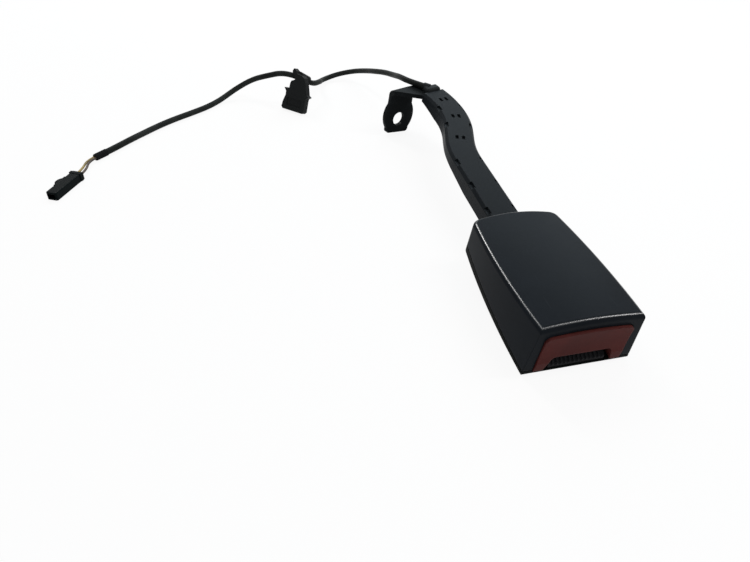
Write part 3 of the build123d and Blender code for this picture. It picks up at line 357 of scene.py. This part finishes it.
    def _edge_wear(self) -> bpy.types.NodeTree:
        """Build the rounding and wear of edges, and the rim band where finishes paint a highlight.

        Returns:
            The group, which puts out a normal rounded at edges, a worn mask along them and a mask
            of the rims that face up and outwards, the band where a highlight is painted.
        """
        shader, into, out = self._open(
            Effect.EDGE_WEAR, {"Radius": 0.0005, "Start": 0.03, "Scale": 300.0},
            ("Wear", "Rim", "Soft Normal"))
        soft = shader.add("ShaderNodeBevel", samples=4)
        shader.feed(soft, into, Radius="Radius")
        shader.link(soft.outputs["Normal"], out.inputs["Soft Normal"])
        geometry = shader.add("ShaderNodeNewGeometry")
        facing = shader.add("ShaderNodeVectorMath", operation="DOT_PRODUCT")
        shader.link(soft.outputs["Normal"], facing.inputs[0])
        shader.link(geometry.outputs["Normal"], facing.inputs[1])
        turned = shader.math("SUBTRACT", 1.0, facing.outputs["Value"])
        # Painted highlight band: rims whose object normal tilts about 30 degrees from straight up.
        axes = shader.add("ShaderNodeSeparateXYZ")
        shader.feed(axes, shader.add("ShaderNodeTexCoord"), Vector="Normal")
        off = shader.math("ABSOLUTE",
                          shader.math("SUBTRACT", axes.outputs["Z"], self.RIM_NORMAL_Z))
        rim = shader.math("SUBTRACT", 1.0, shader.math("MULTIPLY", off, self.RIM_FALL), clamp=True)
        shader.link(rim, out.inputs["Rim"])
        noise = shader.add("ShaderNodeTexNoise", Detail=4.0)
        shader.feed(noise, into, Vector="Vector", Scale="Scale")
        uneven = shader.math("SUBTRACT", noise.outputs["Fac"], self.WEAR_NOISE_MIDDLE)
        broken = shader.math("ADD", turned,
                             shader.math("MULTIPLY", uneven, self.WEAR_NOISE_SHARE))
        above = shader.math("SUBTRACT", broken, into.outputs["Start"])
        shader.link(shader.math("MULTIPLY", above, self.WEAR_GAIN, clamp=True),
                    out.inputs["Wear"])
        return shader.tree


@dataclass(frozen=True)
class Finish:
    """One finish: its colours, gloss and how much of each shared effect it shows."""

    look: Look
    colour: tuple[float, float, float]
    worn: tuple[float, float, float]
    roughness: float = 0.45
    specular: float = 0.3
    metallic: float = 0.0
    grain_scale: float = 2600.0
    grain_depth: float = 0.00002
    smudge: float = 0.08
    scratch: float = 0.35
    dust: float = 0.25
    wear: float = 0.4
    wear_start: float = 0.03
    edge_radius: float = 0.0005
    # Extra specular and smoothness on the rim band, a painted highlight where the lamps' lines
    # fall.
    rim_highlight_boost: float = 0.0
    mottling: float = 0.12

    DUST_COLOUR = (0.16, 0.155, 0.145, 1.0)
    MOTTLE_LIFT, MOTTLE_OFFSET, MOTTLE_GAIN = 2.2, 0.004, 4
    SCRATCH_TINT, SCRATCH_ROUGHNESS = 0.5, 0.15
    RIM_HIGHLIGHT_SMOOTHING = 0.25

    def build(self, shelf: EffectShelf) -> bpy.types.Material:
        """Build the material.

        Args:
            shelf: where the shared node groups come from.

        Returns:
            The finished material.
        """
        material, shader = open_material(self.look.value)
        output = shader.add("ShaderNodeOutputMaterial")
        surface = shader.add("ShaderNodeBsdfPrincipled", Metallic=self.metallic,
                             Specular_IOR_Level=self.specular)
        shader.feed(output, surface, Surface="BSDF")
        place = shader.add("ShaderNodeTexCoord").outputs["Object"]
        marks = self._effect(shader, shelf, Effect.HANDLING, place)
        grain = self._effect(shader, shelf, Effect.GRAIN, place)
        grain.inputs["Scale"].default_value = self.grain_scale
        edges = self._effect(shader, shelf, Effect.EDGE_WEAR, place)
        edges.inputs["Start"].default_value = self.wear_start
        edges.inputs["Radius"].default_value = self.edge_radius
        shader.link(self._tint(shader, marks, edges), surface.inputs["Base Color"])
        shader.link(self._gloss(shader, marks, edges), surface.inputs["Roughness"])
        # Painted highlight: specular rises on the rim band so lamp highlights show only there.
        if self.rim_highlight_boost:
            rim_highlight_specular = shader.math("MULTIPLY", edges.outputs["Rim"], self.rim_highlight_boost)
            shader.link(shader.math("ADD", rim_highlight_specular, self.specular),
                        surface.inputs["Specular IOR Level"])
        bump = shader.add("ShaderNodeBump", Strength=1.0, Distance=self.grain_depth)
        shader.feed(bump, grain, Height="Height")
        shader.feed(bump, edges, Normal="Soft Normal")
        shader.feed(surface, bump, Normal="Normal")
        return material

    def _tint(self, shader: ShaderTree, marks: bpy.types.Node,
              edges: bpy.types.Node) -> bpy.types.NodeSocket:
        """Mix the colour with its mottling, wear, scratches and dust.

        Args:
            shader: the material's tree.
            marks: the handling marks.
            edges: the edge wear.

        Returns:
            The colour's socket.
        """
        lift = 1.0 + self.MOTTLE_LIFT * self.mottling
        lighter = tuple(min(1.0, c * lift + self.MOTTLE_OFFSET * self.mottling)
                        for c in self.colour)
        worn = (*self.worn, 1.0)
        mottled = shader.math("MULTIPLY", marks.outputs["Smudges"],
                              self.mottling * self.MOTTLE_GAIN, clamp=True)
        tone = shader.mix(mottled, (*self.colour, 1.0), (*lighter, 1.0))
        tone = shader.mix(shader.math("MULTIPLY", edges.outputs["Wear"], self.wear), tone, worn)
        scratched = shader.math("MULTIPLY", marks.outputs["Scratches"],
                                self.scratch * self.SCRATCH_TINT)
        tone = shader.mix(scratched, tone, worn)
        dusty = shader.math("MULTIPLY", marks.outputs["Dust"], self.dust)
        return shader.mix(dusty, tone, self.DUST_COLOUR)

    def _gloss(self, shader: ShaderTree, marks: bpy.types.Node,
               edges: bpy.types.Node) -> bpy.types.NodeSocket:
        """Roughen the finish with its marks, and smooth it along the rim band where a highlight is
        painted.

        Args:
            shader: the material's tree.
            marks: the handling marks.
            edges: the edge wear.

        Returns:
            The roughness socket.
        """
        smudged = shader.math("MULTIPLY", marks.outputs["Smudges"], self.smudge)
        scratched = shader.math("MULTIPLY", marks.outputs["Scratches"], self.SCRATCH_ROUGHNESS)
        # Painted highlight: the rim band is made smoother so its highlight line is sharper.
        rim_highlight_smoothing = shader.math("MULTIPLY", edges.outputs["Rim"],
                             self.RIM_HIGHLIGHT_SMOOTHING * self.rim_highlight_boost)
        rough = shader.math("ADD", smudged, self.roughness)
        rough = shader.math("ADD", scratched, rough)
        return shader.math("SUBTRACT", rough, rim_highlight_smoothing, clamp=True)

    @staticmethod
    def _effect(shader: ShaderTree, shelf: EffectShelf, effect: Effect,
                place: bpy.types.NodeSocket) -> bpy.types.Node:
        """Put a shared effect's group in the material.

        Args:
            shader: the material's tree.
            shelf: where the group comes from.
            effect: the effect.
            place: the coordinates that its pattern follows.

        Returns:
            The group's node.
        """
        node = shader.add("ShaderNodeGroup", node_tree=shelf.get(effect))
        shader.link(place, node.inputs["Vector"])
        return node


class Palette:
    """Every finish on the buckle, built when a piece first asks for it."""

    FINISHES = (
        Finish(Look.COVER, (0.0078, 0.0098, 0.0125), (0.040, 0.044, 0.050), roughness=0.30,
               specular=0.022, grain_scale=3400.0, grain_depth=0.000003, smudge=0.10, wear=0.20,
               mottling=0.16, dust=0.10, edge_radius=0.0006, rim_highlight_boost=0.8),
        Finish(Look.SHELL, (0.0065, 0.0075, 0.0072), (0.028, 0.029, 0.030), roughness=0.42,
               specular=0.015, grain_scale=2600.0, grain_depth=0.000008, wear=0.15, dust=0.08),
        Finish(Look.BUTTON, (0.068, 0.0170, 0.0150), (0.20, 0.060, 0.055), roughness=0.38,
               specular=0.02, grain_scale=2400.0, grain_depth=0.000005, smudge=0.12, wear=0.35,
               scratch=0.5, mottling=0.2, dust=0.10, edge_radius=0.0009, rim_highlight_boost=0.12),
        Finish(Look.GUIDE, (0.0150, 0.0150, 0.0165), (0.055, 0.055, 0.058), roughness=0.42,
               specular=0.04, grain_depth=0.000006, wear=0.45, scratch=0.8),
        Finish(Look.FRAME, (0.50, 0.50, 0.51), (0.66, 0.66, 0.67), roughness=0.36, metallic=1.0,
               specular=0.5, grain_scale=1500.0, grain_depth=0.000004, wear=0.3),
        Finish(Look.LATCH, (0.36, 0.36, 0.38), (0.60, 0.60, 0.62), roughness=0.30, metallic=1.0,
               specular=0.5, grain_scale=1800.0, grain_depth=0.000003),
        Finish(Look.PIN, (0.58, 0.58, 0.60), (0.75, 0.75, 0.76), roughness=0.22, metallic=1.0,
               specular=0.5, grain_scale=2200.0, grain_depth=0.000002),
        Finish(Look.SPRING, (0.46, 0.46, 0.48), (0.70, 0.70, 0.70), roughness=0.28, metallic=1.0,
               specular=0.5, grain_depth=0.000002, edge_radius=0.0001),
        Finish(Look.MAGNET, (0.30, 0.30, 0.32), (0.55, 0.55, 0.56), roughness=0.25, metallic=1.0,
               specular=0.5, grain_depth=0.000002),
        Finish(Look.SLIDER, (0.55, 0.54, 0.50), (0.70, 0.69, 0.66), roughness=0.40, specular=0.4,
               grain_depth=0.000004),
        Finish(Look.STRAP, (0.0066, 0.0078, 0.0084), (0.050, 0.052, 0.056), roughness=0.36,
               specular=0.018, grain_scale=1300.0, grain_depth=0.000012, wear=0.35, scratch=0.8,
               mottling=0.25, dust=0.15, edge_radius=0.0004, rim_highlight_boost=0.05),
        Finish(Look.SLEEVE, (0.0080, 0.0098, 0.0115), (0.036, 0.039, 0.044), roughness=0.38,
               specular=0.022, grain_scale=2200.0, grain_depth=0.000006, wear=0.20, mottling=0.2,
               dust=0.10),
        Finish(Look.HOOD, (0.0150, 0.0170, 0.0180), (0.040, 0.040, 0.042), roughness=0.42,
               specular=0.03, grain_depth=0.000008, wear=0.20, dust=0.10),
        Finish(Look.SWITCH, (0.020, 0.020, 0.021), (0.06, 0.06, 0.06), roughness=0.5, specular=0.3),
        Finish(Look.SHEATH, (0.0108, 0.0122, 0.0114), (0.040, 0.040, 0.038), roughness=0.40,
               specular=0.03, grain_scale=1800.0, grain_depth=0.000008, wear=0.0, mottling=0.35,
               smudge=0.14, dust=0.12),
        Finish(Look.YELLOW, (0.17, 0.125, 0.042), (0.42, 0.34, 0.16), roughness=0.42, specular=0.25,
               grain_depth=0.000004, wear=0.0, mottling=0.5, dust=0.2),
        Finish(Look.DARK, (0.040, 0.028, 0.021), (0.14, 0.11, 0.09), roughness=0.42, specular=0.25,
               grain_depth=0.000004, wear=0.0, mottling=0.4, dust=0.2),
        Finish(Look.TAPE, (0.0070, 0.0072, 0.0076), (0.04, 0.04, 0.04), roughness=0.62,
               specular=0.03, grain_scale=3000.0, grain_depth=0.00003, wear=0.0, mottling=0.3,
               dust=0.15),
        Finish(Look.CLIP, (0.0150, 0.0160, 0.0160), (0.026, 0.027, 0.030), roughness=0.36,
               specular=0.025, grain_scale=2000.0, grain_depth=0.000006, wear=0.25, dust=0.08),
        Finish(Look.CONNECTOR, (0.0022, 0.0040, 0.0044), (0.024, 0.027, 0.029), roughness=0.34,
               specular=0.025, grain_scale=2400.0, grain_depth=0.000005, wear=0.22, dust=0.08,
               edge_radius=0.0003),
        Finish(Look.TERMINAL, (0.60, 0.50, 0.30), (0.80, 0.74, 0.55), roughness=0.28, metallic=1.0,
               specular=0.5, grain_depth=0.000002),
    )

    def __init__(self) -> None:
        """Set up the shared effects and an empty shelf of materials."""
        self.effects = EffectShelf()
        self.ready: dict[Look, bpy.types.Material] = {}
        self.known = {finish.look: finish for finish in self.FINISHES}

    def get(self, look: Look) -> bpy.types.Material:
        """Give a finish's material, building it at its first use.

        Args:
            look: which finish.

        Returns:
            Its material.
        """
        if look not in self.ready:
            self.ready[look] = self.known[look].build(self.effects)
        return self.ready[look]

    def dress(self, piece: bpy.types.Object, look: Look) -> None:
        """Give a piece one finish over its whole surface.

        Args:
            piece: the piece.
            look: which finish.
        """
        if not piece.material_slots:
            piece.data.materials.append(None)
        for slot in piece.material_slots:
            slot.material = self.get(look)
        log.info("%s dressed in %s", piece.name, look.value)


# ---------------------------------------------------------------- stage
@dataclass
class Studio:
    """The white table, the lamps and the camera."""

    camera_at: Point = (-0.144858, -0.281362, 0.201222)
    camera_right: Point = (0.96779086, -0.24764059, 0.04533202)
    camera_down: Point = (-0.12415944, -0.62613138, -0.76976875)
    camera_ahead: Point = (0.21900979, 0.73934676, -0.63671114)
    lens: float = 28.466
    sensor: float = 36.0
    nearest: float = 0.01
    floor_size: float = 6.0
    floor_drop: float = 0.0002
    paper_grey: float = 0.86
    floor_glow: float = 0.91
    air_colour: Point = (0.95, 0.97, 1.0)
    air_strength: float = 0.40
    lamps: tuple[tuple[str, Point, tuple[float, float], float, Point], ...] = (
        ("back softbox", (0.50, 0.90, 0.78), (1.0, 0.7), 6.0, (0.78, 0.92, 1.0)),
        ("front edge strip", (0.60, -0.22, 1.02), (0.12, 0.8), 6.0, (1.0, 0.99, 0.98)),
        ("left edge strip", (-0.30, 0.78, 0.86), (0.12, 0.6), 4.5, (1.0, 0.99, 0.98)),
    )
    lamps_face: Point = (0.0, -0.06, 0.02)

    def camera(self) -> None:
        """Place the camera and make it the scene's."""
        data = bpy.data.cameras.new("view")
        data.lens = self.lens
        data.sensor_width = self.sensor
        data.clip_start = self.nearest
        camera = bpy.data.objects.new("view", data)
        bpy.context.scene.collection.objects.link(camera)
        turn = Matrix((Vector(self.camera_right), -Vector(self.camera_down),
                       -Vector(self.camera_ahead))).transposed()
        camera.matrix_world = Matrix.Translation(self.camera_at) @ turn.to_4x4()
        bpy.context.scene.camera = camera

    @staticmethod
    def seen(shader: ShaderTree) -> bpy.types.NodeSocket:
        """Mask the rays that show the background.

        Args:
            shader: the tree that the mask is added to.

        Returns:
            A socket that is 1 for camera, glossy and transmission rays.
        """
        rays = shader.add("ShaderNodeLightPath")
        seen = shader.math("MAXIMUM", rays.outputs["Is Camera Ray"], rays.outputs["Is Glossy Ray"])
        return shader.math("MAXIMUM", seen, rays.outputs["Is Transmission Ray"])

    def floor(self) -> None:
        """Lay the table top, white to the camera, with the object's soft shadow."""
        mesh = bmesh.new()
        bmesh.ops.create_grid(mesh, x_segments=1, y_segments=1, size=self.floor_size)
        bmesh.ops.translate(mesh, verts=mesh.verts, vec=(0, 0, -self.floor_drop))
        floor = finish_mesh(mesh, "table top")
        material, shader = open_material("white table")
        output = shader.add("ShaderNodeOutputMaterial")
        paper = shader.add("ShaderNodeBsdfDiffuse", Color=(*[self.paper_grey] * 3, 1.0))
        glow = shader.add("ShaderNodeEmission", Color=(1.0, 1.0, 1.0, 1.0), Strength=1.0)
        share = shader.math("MULTIPLY", self.seen(shader), self.floor_glow)
        shader.link(shader.blend(share, paper, glow), output.inputs["Surface"])
        floor.data.materials.append(material)

    def world(self) -> None:
        """Fill the world: white where it is seen, a plain grey glow for light."""
        world = bpy.data.worlds.new("studio air")
        bpy.context.scene.world = world
        world.use_nodes = True
        shader = ShaderTree(world.node_tree)
        shader.tree.nodes.clear()
        output = shader.add("ShaderNodeOutputWorld")
        light = shader.add("ShaderNodeBackground", Color=(*self.air_colour, 1.0),
                           Strength=self.air_strength)
        white = shader.add("ShaderNodeBackground", Color=(1.0, 1.0, 1.0, 1.0), Strength=1.0)
        shader.link(shader.blend(self.seen(shader), light, white), output.inputs["Surface"])

    def lamp(self, name: str, at: Point, size: tuple[float, float], watts: float,
             colour: Point) -> None:
        """Hang one rectangular lamp that faces the buckle.

        Args:
            name: the lamp's name.
            at: its place in metres.
            size: its width and height in metres.
            watts: its power.
            colour: the colour of its light.
        """
        data = bpy.data.lights.new(name, "AREA")
        data.shape = "RECTANGLE"
        data.size, data.size_y = size
        data.energy = watts
        data.color = colour
        lamp = bpy.data.objects.new(name, data)
        bpy.context.scene.collection.objects.link(lamp)
        aim = (Vector(self.lamps_face) - Vector(at)).to_track_quat("-Z", "Y")
        lamp.matrix_world = Matrix.Translation(at) @ aim.to_matrix().to_4x4()

    def build(self) -> None:
        """Set up everything round the buckle."""
        self.camera()
        self.world()
        self.floor()
        for lamp in self.lamps:
            self.lamp(*lamp)
        bpy.context.scene.view_settings.view_transform = "Standard"


# ---------------------------------------------------------------- mesh helpers
def finish_mesh(mesh: bmesh.types.BMesh, name: str,
                smooth_angle: float = 35.0) -> bpy.types.Object:
    """Turn a bmesh into an object at the origin.

    Args:
        mesh: the bmesh, which is freed.
        name: the piece's name.
        smooth_angle: edges flatter than this in degrees are shaded smooth.

    Returns:
        The new object, linked to the scene.
    """
    bmesh.ops.recalc_face_normals(mesh, faces=mesh.faces)
    data = bpy.data.meshes.new(name)
    mesh.to_mesh(data)
    mesh.free()
    data.shade_smooth()
    data.set_sharp_from_angle(angle=math.radians(smooth_angle))
    piece = bpy.data.objects.new(name, data)
    bpy.context.scene.collection.objects.link(piece)
    return piece


# ---------------------------------------------------------------- the free lead
@dataclass
class FreeLead:
    """The sheathed lead from the hood to its bare cores and the connector."""

    nodes: dict[str, bpy.types.Object]
    sheath_route: tuple[Point, ...] = (
        (3.71, 241.45, 37.45), (-7.08, 251.84, 38.26), (-9.6, 268.9, 35.7), (-8.1, 285.9, 30.2),
        (-11.1, 303.3, 26.3), (-15.7, 320.2, 21.3), (-17.5, 337.0, 15.6), (-23.8, 356.6, 8.6),
        (-37.3, 362.1, 4.6), (-50.6, 357.2, 2.7), (-59.2, 343.4, 5.2), (-59.8, 323.1, 14.2),
        (-69.1, 309.9, 17.1), (-77.7, 306.7, 23.4), (-92.1, 311.2, 27.2), (-104.3, 320.6, 21.7),
        (-115.2, 331.3, 15.3), (-129.2, 333.5, 7.3), (-142.0, 325.4, 2.15), (-152.5, 313.1, 2.15),
        (-164.8, 303.2, 2.15), (-177.3, 294.1, 2.15), (-188.7, 284.2, 2.15), (-198.9, 273.6, 2.15),
        (-209.0, 262.8, 2.15), (-218.8, 251.2, 2.15), (-229.6, 240.0, 2.15),
    )
    yellow_route: tuple[Point, ...] = (
        (-230.21, 240.59, 2.15), (-234.38, 236.27, 2.15), (-235.89, 223.75, 2.5),
        (-239.92, 215.71, 2.5),
    )
    dark_route: tuple[Point, ...] = (
        (-228.99, 239.41, 2.15), (-233.15, 235.09, 2.15), (-233.2, 222.41, 2.5),
        (-237.23, 214.36, 2.5),
    )
    sheath_diameter: float = 4.2
    core_diameter: float = 1.5
    rings: int = 5
    steps: int = 10

    def spline(self, name: str, route: Iterable[Point], diameter: float) -> bpy.types.Object:
        """Make a smooth round cord along a route.

        Args:
            name: the piece's name.
            route: the control points in millimetres.
            diameter: the cord's diameter in millimetres.

        Returns:
            The curve object.
        """
        place = lead_matrix()
        data = bpy.data.curves.new(name, "CURVE")
        data.dimensions = "3D"
        data.bevel_depth = 1.0
        data.bevel_resolution = self.rings
        data.resolution_u = self.steps
        data.use_fill_caps = True
        line = data.splines.new("NURBS")
        stops = [place @ Vector(p) for p in route]
        line.points.add(len(stops) - 1)
        for point, stop in zip(line.points, stops):
            point.co = (*stop, 1.0)
            point.radius = diameter / 2 * MM
        line.order_u = 3
        line.use_endpoint_u = True
        piece = bpy.data.objects.new(name, data)
        bpy.context.scene.collection.objects.link(piece)
        return piece

    @staticmethod
    def length_of(piece: bpy.types.Object) -> float:
        """Measure a curve along its own line.

        Args:
            piece: the curve object.

        Returns:
            Its length in metres.
        """
        depth, piece.data.bevel_depth = piece.data.bevel_depth, 0.0
        bpy.context.view_layer.update()
        mesh = bpy.data.meshes.new_from_object(piece)
        piece.data.bevel_depth = depth
        at = [vertex.co for vertex in mesh.vertices]
        total = sum((at[edge.vertices[0]] - at[edge.vertices[1]]).length for edge in mesh.edges)
        bpy.data.meshes.remove(mesh)
        return total

    def lay(self, palette: Palette) -> None:
        """Args:
            palette: where the finishes come from.
        """
        made = {}
        for name, node, route, diameter, look, slot in (
                ("sheathed lead", "lead_sheath", self.sheath_route, self.sheath_diameter,
                 Look.SHEATH, "lead_sheath"),
                ("yellow core", "wire_yellow", self.yellow_route, self.core_diameter,
                 Look.YELLOW, "core_yellow"),
                ("dark core", "wire_dark", self.dark_route, self.core_diameter,
                 Look.DARK, "core_dark")):
            piece = self.spline(name.replace(" ", "_"), route, diameter)
            palette.dress(piece, look)
            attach(piece, FIXED_BODY)
            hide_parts(node)
            made[node] = piece
            log.info("%s laid, %.1f mm", name, self.length_of(piece) / MM)
        sheath = made["lead_sheath"]
        tape = TapeWrap(self.sheath_route).build(palette)
        self.length_of(sheath)


# ---------------------------------------------------------------- tape at the sheath's end
@dataclass
class TapeWrap:
    """Cloth tape wound round the sheath where its cores come out, in millimetres."""

    route: Sequence[Point]
    radius: float = 2.1
    proud: float = 0.35
    inner_share: float = 0.55
    start: float = 0.3
    length: float = 9.0
    overlap: float = 1.02
    turns: int = 4
    sides: int = 28
    lowest: float = 0.02

    def build(self, palette: Palette) -> bpy.types.Object:
        """Wind the overlapping turns along the sheath's straight end.

        Args:
            palette: where the finish comes from.

        Returns:
            The tape.
        """
        end, before = Vector(self.route[-1]), Vector(self.route[-2])
        back = (before - end).normalized().to_track_quat("Z", "Y").to_matrix().to_4x4()
        mesh = bmesh.new()
        pitch = self.length / self.turns
        for turn in range(self.turns):
            ring = bmesh.ops.create_cone(mesh, cap_ends=True, segments=self.sides,
                                         depth=pitch * self.overlap,
                                         radius1=self.radius + self.proud * self.inner_share,
                                         radius2=self.radius + self.proud)
            bmesh.ops.translate(mesh, verts=ring["verts"],
                                vec=(0.0, 0.0, self.start + pitch * (turn + 0.5)))
        place = lead_matrix() @ Matrix.Translation(end) @ back
        bmesh.ops.transform(mesh, matrix=place, verts=mesh.verts)
        for vert in mesh.verts:
            vert.co.z = max(vert.co.z, self.lowest * MM)
        piece = finish_mesh(mesh, "sheath_end_tape")
        palette.dress(piece, Look.TAPE)
        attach(piece, FIXED_BODY)
        return piece


# ---------------------------------------------------------------- reshaped copies of the solids
@dataclass
class Recut:
    """A solid's merged copy, which stands in for it and may be trimmed by planes."""

    node: bpy.types.Object
    name: str
    slot: str
    merge_within: float = 0.000001
    on_plane: float = 0.0000005
    smooth_angle: float = 28.0

    def __post_init__(self) -> None:
        """Copy the solid's triangles and merge them."""
        self.mesh = bmesh.new()
        self.mesh.from_mesh(self.node.data)
        bmesh.ops.remove_doubles(self.mesh, verts=self.mesh.verts, dist=self.merge_within)

    def trim(self, corner: Vector, outward: Vector) -> None:
        """Cut away what lies beyond a plane and close the cut.

        Args:
            corner: a point on the plane, in metres.
            outward: the plane's normal, towards the waste.
        """
        parts = [*self.mesh.verts, *self.mesh.edges, *self.mesh.faces]
        cut = bmesh.ops.bisect_plane(self.mesh, geom=parts, dist=self.on_plane, plane_co=corner,
                                     plane_no=outward, clear_outer=True)
        rim = [e for e in cut["geom_cut"] if isinstance(e, bmesh.types.BMEdge)]
        bmesh.ops.triangle_fill(self.mesh, edges=rim, use_beauty=True)
        open_edges = sum(1 for edge in self.mesh.edges if not edge.is_manifold)
        log.info("%s trimmed, %d cut edges, %d open", self.name, len(rim), open_edges)

    def place(self, palette: Palette, look: Look) -> bpy.types.Object:
        """Finish the copy, put it on its body and let it stand for the solid.

        Args:
            palette: where the finish comes from.
            look: which finish.

        Returns:
            The placed copy.
        """
        piece = finish_mesh(self.mesh, self.name, smooth_angle=self.smooth_angle)
        palette.dress(piece, look)
        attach(piece, FIXED_BODY)
        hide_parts(self.node.name)
        return piece


@dataclass
class SleeveEnd:
    """The lower sleeve, whose left lower edge runs out towards the strap's bend.

    The end, right and ahead fields give the stalk's end frame, and the last three fields are
    points of the run-out plane in that frame, in millimetres.
    """

    end: Point = (6.328, 236.995, 0.0)
    right: Point = (0.961, 0.276, 0.0)
    ahead: Point = (-0.276, 0.961, 0.0)
    upper: Point = (-9.5, 0.0, -2.4)
    inner: Point = (-3.2, 0.0, -7.0)
    runout: Point = (-14.4, -26.7, -7.0)

    def at(self, local: Point) -> Vector:
        """Return a point of the stalk's end frame in the row frame."""
        flat = Vector(self.end) + Vector(self.right) * local[0] + Vector(self.ahead) * local[1]
        return stalk_matrix() @ (flat + Vector((0.0, 0.0, local[2])))

    def build(self, node: bpy.types.Object, palette: Palette) -> None:
        """Trim the sleeve's copy along its run-out plane.

        Args:
            node: the lower sleeve's solid.
            palette: where the finish comes from.
        """
        corner, inner, runout = (self.at(p) for p in (self.upper, self.inner, self.runout))
        recut = Recut(node, "sleeve_base_trimmed", "sleeve_plastic")
        recut.trim(corner, (inner - corner).cross(runout - corner).normalized())
        recut.place(palette, Look.SLEEVE)


@dataclass(frozen=True)
class CoilSpring:
    """A coil spring between its seat and the piece that moves.

    The seat is in the stalk's own frame, and it and the travel are in millimetres.
    """

    node: str
    joint: str
    seat: Point
    travel: float

    def build(self, nodes: dict[str, bpy.types.Object], palette: Palette) -> None:
        """Copy the spring's coils and let the copy stand in for the solid.

        Args:
            nodes: the solids by name.
            palette: where the finish comes from.
        """
        coils = Recut(nodes[self.node], self.node + "_coils", "spring_steel")
        piece = coils.place(palette, Look.SPRING)
        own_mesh(piece)


SPRINGS = (
    CoilSpring("button_spring", "button_press", (0.0, 16.5, 3.4), 5.0),
    CoilSpring("ejector_spring", "ejector_slide", (0.0, 47.2, -5.0), 9.0),
)


# ---------------------------------------------------------------- finishes of the solids
NODE_FINISHES: dict[str, Look] = {
    "upper_housing": Look.COVER,
    "lower_housing": Look.SHELL,
    "press_button": Look.BUTTON,
    "entry_guide": Look.GUIDE,
    "base_frame": Look.FRAME,
    "cross_bridge": Look.FRAME,
    "latch": Look.LATCH,
    "latch_pin": Look.PIN,
    "lock_bar": Look.PIN,
    "frame_rivets": Look.PIN,
    "latch_spring": Look.SPRING,
    "ejector_spring": Look.SPRING,
    "button_spring": Look.SPRING,
    "sensor_magnet": Look.MAGNET,
    "ejector": Look.SLIDER,
    "anchor_strap": Look.STRAP,
    "sleeve_cover": Look.SLEEVE,
    "sleeve_base": Look.SLEEVE,
    "cable_grommet": Look.HOOD,
    "buckle_switch": Look.SWITCH,
    "switch_leads": Look.DARK,
    "inner_lead": Look.SHEATH,
    "harness_clip": Look.CLIP,
    "connector_housing": Look.CONNECTOR,
    "connector_lock": Look.CONNECTOR,
    "connector_terminals": Look.TERMINAL,
}


def main() -> None:
    """Load the model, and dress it."""
    logging.basicConfig(level=logging.INFO, format="%(message)s")
    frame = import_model()
    palette = Palette()
    Studio().build()
    FreeLead(frame["nodes"]).lay(palette)
    for node, look in NODE_FINISHES.items():
        palette.dress(frame["nodes"][node], look)
    SleeveEnd().build(frame["nodes"]["sleeve_base"], palette)
    for spring in SPRINGS:
        spring.build(frame["nodes"], palette)


if __name__ == "__main__":
    main()
